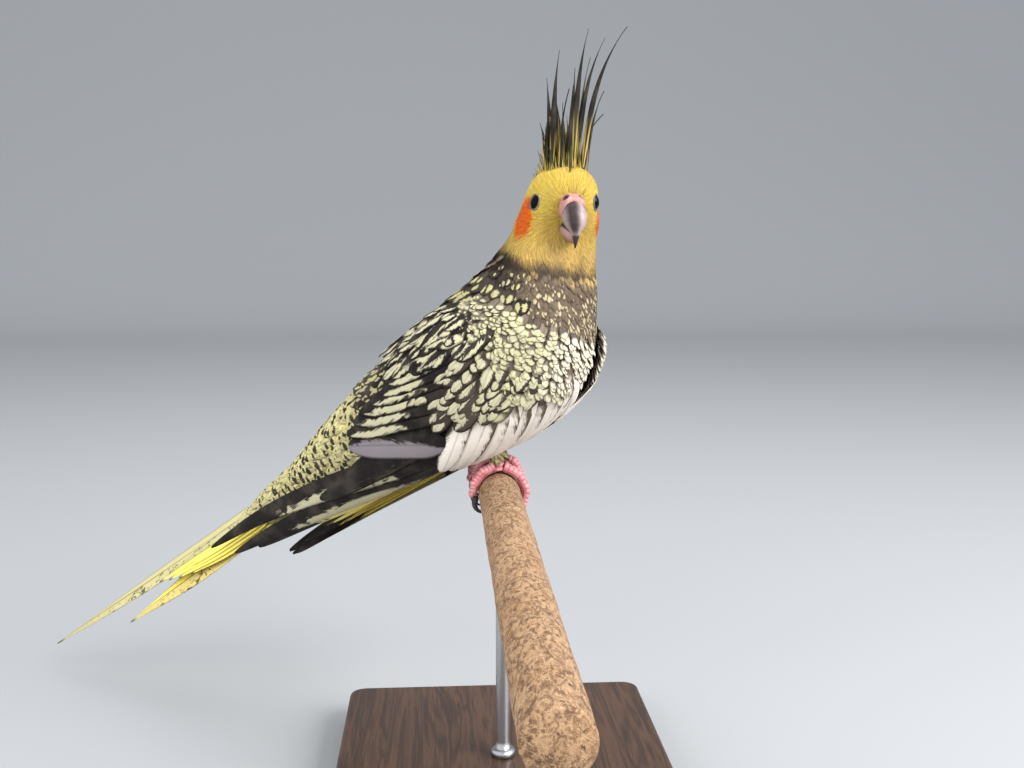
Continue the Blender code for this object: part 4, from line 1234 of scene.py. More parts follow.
def lay_between(
    surface, root, tip, half_width, steps, columns, outline, rise, camber, thick, tilt
):
    """Feathers from root to tip, each a section and an angle: straight in those measures.

    Across it the point moves by x x half width x outline(s) in the surface's own measures, and it
    stands off by rise from root to tip, camber x (1 - x^2) and tilt x / 2."""
    middle = (root + tip) / 2
    along_t, along_a, out = axes_on(surface, middle[:, 0], middle[:, 1])
    gone = tip - root
    way = unit(along_t * gone[:, :1] + along_a * gone[:, 1:])
    across = unit(along_a - way * dot(along_a, way))
    turned = dot(np.cross(across, way), out)[0, 0] < 0
    across_t, across_a = in_measures(across, along_t, along_a)
    s = steps[None, :, None]
    x = np.linspace(-1, 1, columns)[None, None, :]
    aside = x * outline(s) * each_one(half_width)
    places_t = each_one(root[:, 0]) + each_one(gone[:, 0]) * s + across_t[:, :, None] * aside
    places_a = each_one(root[:, 1]) + each_one(gone[:, 1]) * s + across_a[:, :, None] * aside
    low, high = each_one(rise[0]), each_one(rise[1])
    lift = low + (high - low) * s + camber * (1 - x * x) * np.minimum(1, outline(s) * 1.5)
    lift = lift + tilt * x * 0.5 * outline(s)
    top, under = surface(places_t, places_a, lift), surface(places_t, places_a, lift - thick)
    if turned:
        top, under = top[:, :, ::-1], under[:, :, ::-1]
    return top, under, bool(turned)


def quill(s):
    """The outline of a flight feather: nearly parallel, then a round point."""
    return blunt(s, 0.25, 0.66, 0.345)


class Wing:
    """One folded wing, built tier by tier on its guide surface."""

    def __init__(self, side):
        self.side, self.mesh, self.cell = side, Mesh(), 0
        self.rng = np.random.default_rng(40 + side)

    def jittered(self, places, amount, t_size, angle_size):
        """Places with a random step each, of a section and of an angle."""
        steps = self.rng.normal(0, 1, places.shape) * np.array([t_size, angle_size])
        return places + steps * amount

    def tier(
        self, count, first, last, half_width, rise, ground, mark, spot, form,
        tips=None, jitter=0.0, step=0.0, sag=None, on_pad=False, steps=12, columns=7,
        outline=quill, camber=0.5, tilt=1.2, uneven=0.0,
    ):
        """A row of feathers between the first one's root and tip and the last one's.

        Each lies a step lower than the one before. Sag lets the left wing's hang to the belly."""
        x = np.linspace(0, 1, count)[:, None]
        root, tip = [np.array(a) + (np.array(b) - np.array(a)) * x for a, b in zip(first, last)]
        if tips is not None:
            tip = np.array(tips, float)
        tip = self.jittered(tip, jitter, 0.09, 1.6)
        root = self.jittered(root, jitter, 0.05, 1.0)
        low = rise[0] - step * np.arange(count)
        high = rise[1] - step * 0.4 * np.arange(count)
        if sag is not None and self.side > 0:
            share = (0.8 * np.asarray(sag, float))[:, None]
            tip = tip + (np.array([2.4, 142.0]) - tip) * share
            high = high + 11.0 * share[:, 0]
        surface = padded_arm(self.side) if on_pad else folded(self.side)
        width = half_width * (1 + self.rng.normal(0, 0.04, count))
        top, under, turned = lay_between(
            surface, root, tip, width, cuts(steps, 0.5), columns, outline, (low, high), camber,
            VANE_THICK, tilt,
        )
        cell = self.cell + np.arange(count)
        self.cell += count
        place = np.stack([(cell % 24 + 0.5) / 24, (cell // 24 % 24 + 0.5) / 24], -1)
        shades = 1 + self.rng.normal(0, 0.08, (count, 1))
        spot = np.broadcast_to(np.asarray(spot, float), (count, 3)).copy()
        form = np.broadcast_to(np.asarray(form, float), (count, 3)).copy()
        if turned:
            spot[:, 0] *= np.where(spot[:, 2] > 0.5, 1.0, -1.0)
        spot[:, 1] += self.rng.normal(0, 0.03, count)
        spot[:, :2] += self.rng.normal(0, 1, (count, 2)) * np.array([0.16, 0.07]) * uneven
        form[:, :2] *= np.exp(self.rng.normal(0, 0.08 + 0.3 * uneven, (count, 2)))
        ground = np.clip(np.asarray(ground) * shades, 0.004, 0.95)
        add_feathers(self.mesh, top, under, place, 0.034, ground, mark, spot, form)


def make_wing(side):
    """The folded wing: primaries lowest, then secondaries, tertials, coverts and scapulars.

    A place is a section of the guide and an angle round it. A mark is across, along and whether
    it is on both vanes, then its half width, half length and softness."""
    wing = Wing(side)
    long = dict(tilt=0.0, steps=30, columns=11)
    wing.tier(
        4, ((6.4, 138), (2.7, 134)), ((6.5, 148), (3.9, 146)), 5.2, (-0.8, -0.6), SLATE,
        EDGE_YELLOW,
        [(0.7, 0.25, 0.0), (0.7, 0.34, 0.0), (0.5, 0.36, 0.0), (0.3, 0.34, 0.0)],
        [(0.7, 0.25, 0.2), (0.7, 0.38, 0.2), (0.95, 0.50, 0.2), (1.3, 0.6, 0.2)],
        step=0.4, sag=(1, 0.67, 0.33, 0), **long,
    )
    wing.tier(
        2, ((7.2, 140), (2.05, 94)), ((7.2, 147), (2.33, 123)), 4.5, (0.2, 0.2), SLATE, CREAM,
        [(0.75, 0.44, 0.0), (0.65, 0.42, 0.0)], [(0.70, 0.18, 0.2), (0.80, 0.20, 0.25)],
        step=0.6, sag=(1, 1), **long,
    )
    wing.tier(
        5, ((7.2, 110), (5.75, 116)), ((6.9, 124), (4.45, 121)), 3.8, (1.4, 0.9), SLATE,
        (0.05, 0.04, 0.032), (1.0, 0.6, 0.0), (0.16, 0.5, 0.5), tilt=1.5, steps=18, columns=9,
    )
    wing.tier(
        1, ((6.95, 131), (5.6, 99)), ((6.95, 131), (5.6, 99)), 5.6, (-1.2, 0.5), SLATE, LILAC,
        (0.75, 0.60, 0.0), (0.95, 0.60, 0.12), on_pad=True, tilt=1.0, steps=22, columns=11,
    )
    wing.tier(
        7, ((8.6, 80), (7.0, 78)), ((7.55, 116), (5.8, 90)), 4.0, (0.4, 1.2), SLATE, CREAM,
        (0.48, 0.66, 0.0), (0.30, 0.25, 0.25), steps=22, columns=9, on_pad=True, tips=TERTIAL_TIPS,
    )
    white = dict(tilt=1.4, steps=18, columns=9, camber=0.7, jitter=0.4, uneven=0.1)
    wing.tier(
        10, ((7.7, 116), (6.45, 144)), ((9.0, 140), (7.5, 178)), 3.7, (2.4, 2.2),
        (0.09, 0.064, 0.045), IVORY, (0.12, 0.74, 0.0), (0.92, 0.60, 0.4), **white,
    )
    wing.tier(
        6, ((8.5, 124), (7.25, 152)), ((8.9, 144), (8.1, 180)), 3.7, (2.2, 2.1),
        TAUPE, IVORY, (0.1, 0.66, 0.0), (1.4, 0.75, 0.3), **white,
    )
    wing.tier(
        6, ((7.7, 106), (6.95, 112)), ((8.2, 116), (7.5, 127)), 3.4, (0.3, 1.2), UMBER, CREAM,
        (0.0, 0.72, 0.0), (0.42, 0.20, 0.3), on_pad=True, tilt=0.6, jitter=1.2, uneven=0.8,
    )
    for k, (t0, t1, size) in enumerate(COVERT_ROWS):
        wing.tier(
            9 + k, ((t0, 86), (t1, 94)), ((t0 + 0.3, 115 + 4 * k), (t1 + 0.3, 123 + 3 * k)), size,
            (-0.7, 1.35), UMBER, CREAM, (0.0, 0.70, 0.0), (0.52, 0.26, 0.3), on_pad=True,
            tilt=0.6, jitter=1.6, outline=rounded, uneven=0.8,
        )
    for t0, t1, low, high in SCAPULAR_ROWS:
        wing.tier(
            8, ((t0, low), (t1, low + 4)), ((t0 + 0.1, high), (t1, high + 6)), 3.3, (-0.1, 1.6),
            SLATE, CREAM, (0.42, 0.70, 1.0), (0.22, 0.24, 0.3), on_pad=True, tilt=0.8, steps=14,
            jitter=1.8, outline=rounded, uneven=0.9,
        )
    small_scales(wing)
    solid = "wing_left" if side > 0 else "wing_right"
    finish = feather_finish(f"{solid}_feather", 40.0, ragged=1.4)
    wing.mesh.build(f"feathers_{solid}", finish, "pearl_feather", [solid])


def small_scales(wing):
    """The lesser coverts: small cream scales with thin dark rims round the bend of the wing."""
    surface = padded_arm(wing.side)
    t, angle = spread(surface, 760, (7.9, 9.6), (54.0, 165.0))
    kept = (angle < 128.0 + 42.0 * ease(t, 8.3, 9.1)) & (t > 8.5 - 0.55 * ease(angle, 112.0, 130.0))
    t, angle = t[kept], angle[kept]
    t = t + wing.rng.normal(0, 0.02, len(t))
    angle = angle + wing.rng.normal(0, 1.0, len(t))
    back = surface(t - 0.05, angle) - surface(t, angle)
    way = unit(back) + wing.rng.normal(0, 0.2, (len(t), 3))
    size = (0.75 + 0.5 * ease(-t, -9.2, -8.0)) * np.exp(wing.rng.normal(0, 0.16, len(t)))
    top, under = lay_feathers(
        surface, t, angle, way, 5.0 * size, 2.1 * size, cuts(7, 0.6), 5, quill,
        (np.full(len(t), -0.3), 1.0 + 1.6 * ease(angle, 125.0, 150.0)), 0.3, 0.12,
    )
    n = len(t)
    none = np.zeros(n)
    spot = np.stack([wing.rng.normal(0, 0.4, n), 0.72 + wing.rng.normal(0, 0.06, n), none], -1)
    pale = ease(t, 8.3, 9.0) * ease(angle, 118.0, 140.0)
    size = 0.7 + 0.5 * wing.rng.random(n) + 0.3 * pale
    low = 1.0 - 0.4 * ease(-angle, -100.0, -75.0)
    form = np.stack([1.0 * size * low, 0.30 * size * low, none + 0.5], -1)
    place = np.stack([angle / 360.0, 0.6 + 0.4 * (t - 7.8) / 1.8], -1)
    mark = mixed(mixed(CREAM, (0.58, 0.55, 0.30), wing.rng.random(n)), IVORY, 0.5 * pale)
    ground = mixed((0.055, 0.043, 0.032), (0.19, 0.155, 0.115), wing.rng.random(n))
    ground = ground * (1.2 + wing.rng.normal(0, 0.15, (n, 1)))
    add_feathers(wing.mesh, top, under, place, 0.006, ground, mark, spot, form)


def make_tail():
    """The graduated tail: each feather steps down its own slope, turned out and rolled.

    A step's direction is (-cos pitch cos turn, sin turn, sin pitch)."""
    mesh = Mesh()
    slope = [math.radians(-s) for s in TAIL_SLOPE]
    count = 0
    for pair, row in enumerate(TAIL_PAIRS):
        for side in (1, -1):
            full, half_width, spread_out, drop, start = row
            sag = 0.0
            if pair == 0 and side < 0:
                full += TAIL_SHORT_RIGHT[0]
                spread_out += TAIL_SHORT_RIGHT[1]
                drop += TAIL_SHORT_RIGHT[2]
                sag = math.radians(TAIL_SHORT_RIGHT[3])
            steps = 44 if pair == 0 else 20
            s = np.linspace(0, 1, steps)
            pitch = slope[0] + (slope[1] - slope[0]) * s * full / TAIL_PAIRS[0][0] - sag
            turn = math.radians(spread_out) * side
            ahead, left = -np.cos(pitch) * math.cos(turn), 0 * s + math.sin(turn)
            along = np.stack([ahead, left, np.sin(pitch)], -1)
            across = unit(np.cross(along, [0.0, 0.0, 1.0]))
            normal = np.cross(across, along)
            roll = TAIL_ROLL[0] + TAIL_ROLL[1] * side
            across, normal = (
                across * math.cos(roll) - normal * math.sin(roll),
                normal * math.cos(roll) + across * math.sin(roll),
            )
            path = np.concatenate([[[0.0, 0.0, 0.0]], np.cumsum((along[1:] + along[:-1]) / 2, 0)])
            root = np.array([TAIL_ROOT[0], side * start, TAIL_ROOT[1] + drop])
            centre = root + path * full / (steps - 1)
            x = np.linspace(-1, 1, 11)[None, :, None]
            width = (half_width * tail_outline(s))[:, None, None]
            rise = 0.55 * (1 - x * x) - 0.15 + 0.28 * np.exp(-((x / 0.09) ** 2))
            rise = rise * np.minimum(1, width / 2.5)
            top = centre[:, None] + across[:, None] * x * width + normal[:, None] * rise
            under = top - normal[:, None] * 0.3
            place = np.array([[0.08 + 0.1 * count, 0.5]])
            near = np.array([[-1.0 if pair == 0 else 1.0, 1.0 if side < 0 else 0.0, 0.0]])
            shade = mixed(STRAW, CREAM, 0.3) if side > 0 else mixed(STRAW, LEMON, 0.4)
            if pair:
                shade = mixed(STRAW, CREAM, 0.5)
            shade = shade[None]
            add_feathers(mesh, top[None], under[None], place, 0.09, shade, shade, near, PLAIN[1])
            count += 1
    mesh.build("feathers_tail", tail_finish(), "yellow_feather", ["tail"])


def tail_outline(s):
    """The outline of a tail feather: full to the middle, then a cosine down to a narrow point."""
    taper = np.cos(np.clip((s - 0.42) / 0.58, 0, 1) * math.pi / 2.001) ** 1.15
    return (0.5 + 0.5 * ease(s, 0, 0.2)) * np.where(s < 0.42, 1.0, 0.05 + 0.95 * taper)


def tail_finish():
    """A tail feather: yellow vanes with dark flecks on one vane, a brown shaft and a dusky tip."""
    f = Finish("tail_feather")
    across, along = f.vane()
    which, bright, _ = f.split(f.carried("spot", "Vector"))
    across = across * which
    ground = f.carried("ground", "Color")
    flecks = f.noise(330.0, f.stretched((1.0, 1.0, 2.0)), detail=3.0, distortion=1.2)
    patches = f.noise(110.0, detail=1.0)
    near = across.between(-0.05, 0.2)
    fleck = (flecks + patches * 0.25).between(0.70, 0.76) * near * (1.0 - along.between(0.72, 0.9))
    colour = f.mix(near * 0.25, ground, (0.50, 0.45, 0.22))
    colour = f.mix((1.0 - near) * bright, colour, (0.95, 0.80, 0.14))
    barb = ((along * 150.0 - abs(across) * 26.0) * (2 * math.pi)).sine() * 0.5 + 0.5
    colour = f.mix(barb * 0.10, colour, (0.35, 0.28, 0.08))
    colour = f.mix(fleck * 0.9, colour, (0.05, 0.042, 0.03))
    shaft = 1.0 - abs(across).between(0.03, 0.10)
    colour = f.mix(shaft * (along.between(0.15, 0.7) * 0.7 + 0.15), colour, (0.10, 0.06, 0.02))
    tip = along.between(0.95, 0.985)
    colour = f.mix(tip * 0.85, colour, (0.07, 0.05, 0.03))
    return f.end(
        Base_Color=colour,
        Roughness=barb * 0.1 + 0.48,
        Normal=f.bump(barb * 0.4 + shaft, 0.00010),
        Specular_IOR_Level=0.35,
    )


def standing(centre, columns, wobble):
    """For feathers that stand up along paths: the ways across and out of each, and places across.

    Across is the head's left, moved by the wobble and made square to the path."""
    along = unit(np.gradient(centre, axis=1))
    across = head_point(0.0, 1.0, 0.0) - head_point(0.0, 0.0, 0.0)
    across = unit(across + wobble)
    across = unit(across - along * dot(across + 0 * along, along))
    x = np.linspace(-1, 1, columns)[None, None, :, None]
    return across[:, :, None], np.cross(across, along)[:, :, None], x


def make_crest():
    """The crest: each feather rises and leans, sideways as 0.35 s + 0.65 s^3 and back as s^2."""
    mesh = Mesh()
    rng = np.random.default_rng(51)
    rows = [CREST]
    for _ in range(2):
        extra = CREST.copy()
        extra[:, 0] += rng.normal(0, 1.2, len(CREST))
        extra[:, 1:3] += rng.normal(0, 1.0, (len(CREST), 2))
        extra[:, 3] *= 0.25 + 0.6 * rng.random(len(CREST))
        extra[:, 4] *= 0.6 + 0.4 * rng.random(len(CREST))
        extra[:, 2] = extra[:, 1] + (extra[:, 2] - extra[:, 1]) * 0.55
        extra[:, 5] *= 0.6
        rows.append(extra)
    rows = np.concatenate(rows)
    n = len(rows)
    forward, left, tip_left, rise, sweep, half = [rows[:, i, None] for i in range(6)]
    s = np.linspace(0, 1, 20)[None]
    aside = left + (tip_left - left) * (0.35 * s + 0.65 * s**3)
    centre = head_point(forward - sweep * s**2, aside, CREST_ROOT - 1.0 + (rise + 1.0) * s)
    across, normal, x = standing(centre, 5, 0.35 * rng.normal(0, 1, (n, 1, 3)))
    width = half * (0.40 + 0.40 * ease(s, 0.0, 0.3) - 0.74 * ease(s, 0.4, 1.0))
    width = np.maximum(width, 0.1)[..., None, None]
    top = centre[:, :, None] + across * x * width + normal * 0.35 * (1 - x * x)
    under = top - normal * VANE_THICK
    cell = np.arange(n)
    place = np.stack([(cell % 8 + 0.5) / 8, (cell // 8 + 0.5) / 8], -1)
    paler = (cell >= len(CREST)) * rng.random(n)
    ground = mixed((0.014, 0.011, 0.008), (0.05, 0.042, 0.016), paler)
    mark = mixed((0.60, 0.44, 0.10), (0.34, 0.29, 0.08), rng.random(n))
    spot = [1.0 + rng.normal(0, 0.1, n), 0.08 + rng.normal(0, 0.03, n), np.ones(n)]
    form = [0.55 + rng.normal(0, 0.1, n), 0.20 + rng.normal(0, 0.05, n), np.full(n, 0.9)]
    spot, form = np.stack(spot, -1), np.stack(form, -1)
    add_feathers(mesh, top, under, place, 0.1, ground, mark, spot, form)
    crown_tufts(mesh)
    finish = feather_finish("crest_feather", 60.0, ragged=0.4)
    mesh.build("feathers_crest", finish, "yellow_feather", ["crest"])


def crown_tufts(mesh):
    """Yellow and olive feathers that stand up round the crest's roots, shorter to the forehead."""
    rng = np.random.default_rng(52)
    n = 640
    round_it = rng.random(n) * 2 * math.pi
    out = np.sqrt(rng.random(n))
    forward = 0.5 + 7.5 * out * np.cos(round_it)
    left = 7.4 * out * np.sin(round_it)
    rise = (3.5 + 18.0 * rng.random(n) ** 2.6) * (1.15 - 0.75 * out**2)
    height = CREST_ROOT + 0.6 - 4.6 * out**2
    s = np.linspace(0, 1, 9)[None]
    lean = 0.22 * left + rng.normal(0, 0.7, n)
    back = 3.0 + 3.0 * rng.random(n) - 0.25 * forward
    paths = ((forward, -back, s**2), (left, lean, s), (height, rise, s))
    centre = head_point(*(start[:, None] + gone[:, None] * share for start, gone, share in paths))
    across, normal, x = standing(centre, 3, 0.6 * rng.normal(0, 1, (n, 1, 3)))
    width = (0.5 * pointed(s) * (0.6 + 0.6 * rng.random(n))[:, None])[..., None, None]
    top = centre[:, :, None] + across * x * width + normal * 0.2 * (1 - x * x)
    under = top - normal * 0.15
    place = np.stack([0.5 + 0.4 * left / 8, 0.5 + 0.4 * forward / 8], -1)
    # The yellow is darkened to 0.68 as painted shade, like the hood's strands.
    ground = 0.68 * mixed(LEMON, (0.60, 0.46, 0.14), rng.random(n))
    streaked = (rng.random(n) < 0.40)[:, None]
    mark = np.where(streaked, np.array((0.05, 0.042, 0.015)), ground)
    form = np.broadcast_to(np.array([0.7, 0.35, 0.5]), (n, 3))
    add_feathers(mesh, top, under, place, 0.003, ground, mark, (0.1, 0.85, 0.0), form)


def swung_rings(table, rings, sides, tooth=0.0, arch=0.0):
    """A piece of the bill, half-round sections swung about the pivot, and its across and along.

    A section's point is at radius middle + half x cos b, out to the side by half width x sin b."""
    place = np.linspace(0, len(table) - 1, rings)
    row = rows_at(table, place)
    angle, outer, inner, width = [row[:, i, None] for i in range(4)]
    b = circle(sides)[None]
    boxy = [np.sign(v) * np.abs(v) ** 0.8 for v in (np.cos(b), np.sin(b))]
    middle, half = (outer + inner) / 2, (outer - inner) / 2
    near_end = ease(place, len(table) - 2.2, len(table) - 1.0)[:, None]
    angle = angle - arch * np.abs(np.sin(b)) ** 1.5 * near_end
    notch = tooth * np.exp(-(((angle - 3.0) / 4.0) ** 2)) * np.clip(-np.cos(b), 0, 1)
    reach = middle + (half - notch) * boxy[0]
    a = np.radians(angle)
    left = width * boxy[1] * (1.0 - 0.1 * boxy[0])
    points = head_point(BILL_PIVOT[0] + reach * np.cos(a), left, BILL_PIVOT[1] + reach * np.sin(a))
    vane = np.stack(np.broadcast_arrays(0.5 + 0.5 * np.sin(b), (place / place[-1])[:, None]), -1)
    return points, vane


def make_bill():
    """The cere, the upper bill and the lower bill, each a closed form of its own.

    Each nostril is a pit, depth x exp(-(distance / radius)^2), in a low rim of the same kind."""
    points, vane = swung_rings(UPPER_BILL, 60, 56, 0.5)
    pale, dark = (0.36, 0.26, 0.262), (0.030, 0.017, 0.015)
    finish = horn_finish("upper_bill_horn", pale, dark, 0.74, 0.79)
    lone_tube(
        "horn_upper_bill", stand_up(points), True, finish, "bill", ["bill_upper"], Vane=vane
    )
    low = rows_at(LOWER_BILL, np.linspace(0, 4, 30))
    b = circle(40)[None]
    forward, height, depth, width = [low[:, i, None] for i in range(4)]
    left = width * np.sin(b) * (1 + 0.2 * np.cos(b))
    points = head_point(forward + 0 * b, left, height + depth * np.cos(b))
    vane = np.stack([0.5 + 0.5 * np.sin(b) + 0 * forward, 0.5 + 0.5 * np.cos(b) + 0 * forward], -1)
    pale, dark = (0.36, 0.22, 0.19), (0.26, 0.14, 0.12)
    # On the lower bill the dark end falls on its top edge: painted shadow under the upper bill.
    finish = horn_finish("lower_bill_horn", pale, dark, 0.66, 0.76)
    lone_tube(
        "horn_lower_bill", stand_up(points), True, finish, "bill", ["bill_lower"], Vane=vane
    )
    points, vane = swung_rings(CERE, 90, 128, arch=12.0)
    ahead, up = BILL_PIVOT[0] + NOSTRIL[0], BILL_PIVOT[1] + NOSTRIL[2]
    here = np.stack([head_point(ahead, side * NOSTRIL[1], up) for side in (1, -1)])
    here = here - 0.6 * unit(here - head_point(BILL_PIVOT[0], 0.0, BILL_PIVOT[1] + 4.0))
    middle = points.mean(1, keepdims=True)
    # pit marks each nostril, which the cere's finish paints dark as the shade inside it.
    pit = np.zeros((*points.shape[:2], 1))
    for nostril in here:
        near = points.reshape(-1, 3)[np.linalg.norm(points - nostril, axis=-1).argmin()]
        away = np.linalg.norm(points - near, axis=-1, keepdims=True)
        pit = np.maximum(pit, np.exp(-((away / 1.5) ** 4)))
        sunk = 1.6 * np.exp(-((away / 0.8) ** 2)) - 0.45 * np.exp(-(((away - 1.6) / 0.6) ** 2))
        points = points + unit(middle - points) * sunk
    finish = flesh_finish("cere_skin", (0.48, 0.25, 0.225), (0.34, 0.12, 0.10), 1900.0, 0.00012)
    carried = {"Vane": vane, "pit": pit}
    lone_tube("skin_cere", stand_up(points), True, finish, "cere", ["cere"], **carried)


def make_eyes():
    """Each eye a ball, its rings cos and sin of even steps, in a wrinkled ring of bare skin."""
    finish = eye_finish()
    grey, dark = (0.15, 0.16, 0.165), (0.05, 0.05, 0.05)
    lid = flesh_finish("eye_ring_skin", grey, dark, 2600.0, 0.00012)
    rings = Mesh()
    wide, tall, deep = EYE_OPENING
    for side, label in ((1, "left"), (-1, "right")):
        here, out = eye_place(side)
        up = unit(np.array([0.0, 0.0, 1.0]) - out * out[2])
        aside = np.cross(up, out)

        def round_eye(b):
            """A step from the eye's middle to its opening's oval edge, per unit of radius."""
            return aside * wide * np.cos(b)[..., None] + up * tall * np.sin(b)[..., None]

        polar = np.linspace(0.02, math.pi - 0.02, 40)[:, None, None]
        flat = round_eye(circle(56)[None]) * np.sin(polar)
        ball = here - out * EYE_DEPTH + EYE_RADIUS * (out * deep * np.cos(polar) + flat)
        iris = np.broadcast_to(1.25 * np.sin(polar) * (np.cos(polar) > 0), (*ball.shape[:2], 1))
        lone_tube(
            f"eyeball_{label}", stand_up(ball), True, finish, "eye", [f"eye_{label}"], iris=iris
        )
        major, minor = LID_RING
        a, b = circle(72)[:, None], circle(20)[None]
        wrinkles = 0.05 * np.sin(a * 17) + 0.03 * np.sin(a * 29 + 1)
        fold = minor * (1 + wrinkles - 0.25 * np.sin(a))
        reach = (major + fold * np.cos(b))[..., None]
        lifted = (fold * 0.8 * np.sin(b))[..., None]
        add_ring(rings, stand_up(here + out * 0.1 + round_eye(a) * reach + out * lifted))
    rings.build("eye_rings", lid, "cere")


def add_ring(mesh, grid):
    """A ring whose two ways both close round."""
    rows, sides = grid.shape[:2]
    r, k = np.meshgrid(np.arange(rows), np.arange(sides), indexing="ij")
    below, after = (r + 1) % rows, (k + 1) % sides
    here, below = r * sides, below * sides
    quads = np.stack([here + k, below + k, below + after, here + after], -1)
    mesh.take(grid, [quads.reshape(-1, 4)])


def add_scales(mesh, centres, rings, radius, plate):
    """A tube of scaled skin: its rings pushed out to radius x (0.93 + 0.1 x plate)."""
    outward = (rings - centres[:, None]) * (radius[:, None] * (0.93 + 0.10 * plate))[..., None]
    add_tube(mesh, (centres[:, None] + outward) * MM, plate=plate[..., None])


def make_toe(skin, horn, y, shift, first, last, thick, thin):
    """A toe bent round the perch, with plates of scale on it, and its claw."""
    axis_z = PERCH_TOP - PERCH_RADIUS
    s = np.linspace(0, 1, 90)
    a = np.radians(first + (last - first) * s)
    plates = np.abs(np.sin(s * math.pi * 11)) ** 0.6
    radius = thick + (thin - thick) * s + 0.14 * np.cos(s * 6 * math.pi)
    radius = radius * (1.0 - 0.45 * ease(s, 0.94, 1.0))
    reach = PERCH_RADIUS + GAP + radius + 0.1
    along = y + shift * (0.45 + 0.75 * s)
    centres = np.stack([reach * np.cos(a), along, axis_z + reach * np.sin(a)], -1)
    rings = tube_rings(centres, 1.0, 30)
    from_axis = unit(np.stack([np.cos(a), 0 * a, np.sin(a)], -1))[:, None]
    upper = ease(((rings - centres[:, None]) * from_axis).sum(-1), -0.4, 0.5)
    cobble = np.abs(np.sin(s[:, None] * math.pi * 26)) * np.abs(np.sin(circle(30)[None] * 5))
    add_scales(skin, centres, rings, radius, upper * plates[:, None] + (1 - upper) * cobble)
    s = np.linspace(-0.12, 1, 30)
    turned = (GAP + 0.9 + CLAW_LENGTH * s) / (reach[-1] + 0.5)
    a = math.radians(last) + (turned if last > first else -turned)
    bulge = np.sin(math.pi * np.minimum(1.0, np.maximum(s, 0) * 1.1))
    swing = reach[-1] + 1.2 * bulge - 0.5 * s
    path = np.stack([swing * np.cos(a), 0 * s + along[-1], axis_z + swing * np.sin(a)], -1)
    taper = 1.15 * (1 - np.clip(s, 0, 1)) ** 0.8 + 0.1
    add_tube(horn, tube_rings(path, taper, 20) * MM)


def make_feet():
    """Toes round the perch with plates of scale, each with its claw, and the short shanks."""
    skin, horn = Mesh(), {}
    for name, side in (("left", 1), ("right", -1)):
        y = FEET_Y + side * FOOT_SPACING / 2
        for label, offset, first, last, thick, thin in TOES:
            claw = horn[f"claw_{name}_{label}"] = Mesh()
            make_toe(skin, claw, y, -side * offset, first, last, thick, thin)
        s = np.linspace(0, 1, 40)
        x = np.interp(s, (0, 0.4, 1), (0.0, -0.4, -1.0))
        z = PERCH_TOP + np.interp(s, (0, 0.4, 1), (1.0, 4.5, 8.2))
        radius = np.interp(s, (0, 0.4, 1), (2.7, 2.0, 2.1))
        centres = np.stack([x, y + 0 * s, z], -1)
        plates = np.abs(np.sin(s[:, None] * math.pi * 6)) ** 0.6
        plate = plates * (0.5 + 0.5 * np.abs(np.sin(circle(30)[None] * 4)))
        add_scales(skin, centres, tube_rings(centres, 1.0, 30), radius, plate)
    skin.build("scaled_feet", foot_finish(), "foot", ["foot_left", "foot_right"])
    finish = claw_finish()
    for name, mesh in horn.items():
        mesh.build(f"horn_{name}", finish, "claw", [name])


def make_leg_coat():
    """Loose feathers over the thighs, down to the shanks."""
    mesh = Mesh()
    rng = np.random.default_rng(61)
    for side in (1, -1):
        belly, knee = thigh_axis(side)
        axis = unit(knee - belly)
        first = unit(np.cross(axis, [0.0, 1.0, 0.0]))
        second = np.cross(axis, first)

        def thigh(t, angle, lift=0.0):
            """A point of the thigh, t along it from the belly and angle round it."""
            t, angle, lift = np.broadcast_arrays(t, angle, lift)
            a = np.radians(angle)[..., None]
            reach = (np.interp(t, *THIGH) + lift)[..., None]
            round_it = first * np.cos(a) + second * np.sin(a)
            return belly + (knee - belly) * t[..., None] + round_it * reach

        t, angle = spread(thigh, 260, (0.0, 0.95), (0.0, 360.0))
        way = axis + rng.normal(0, 0.08, (len(t), 3))
        rise = (np.full(len(t), -0.8), np.full(len(t), 0.4))
        top, under = lay_feathers(
            thigh, t, angle, way, 5.5, 1.5, cuts(5, 0.6), 3, rounded, rise, 0.2, 0.12
        )
        ground = mixed(mixed(TAUPE, STRAW, 0.25), CREAM, rng.random(len(t)) * 0.4)
        place = np.stack([angle / 360.0, 0.1 + 0.2 * t], -1)
        add_feathers(mesh, top, under, place, 0.003, ground, ground, *PLAIN)
    finish = feather_finish("thigh_feather", 14.0, shaft=0.1)
    mesh.build("coat_thighs", finish, "grey_feather")


def turned_form(name, x, y, z, flip, finish, slot, solid):
    """A form of round rings, from its points' places in millimetres of the model's frame."""
    grid = np.stack(np.broadcast_arrays(x, y, z), -1) * MM
    lone_tube(name, grid, flip, finish, slot, [solid])


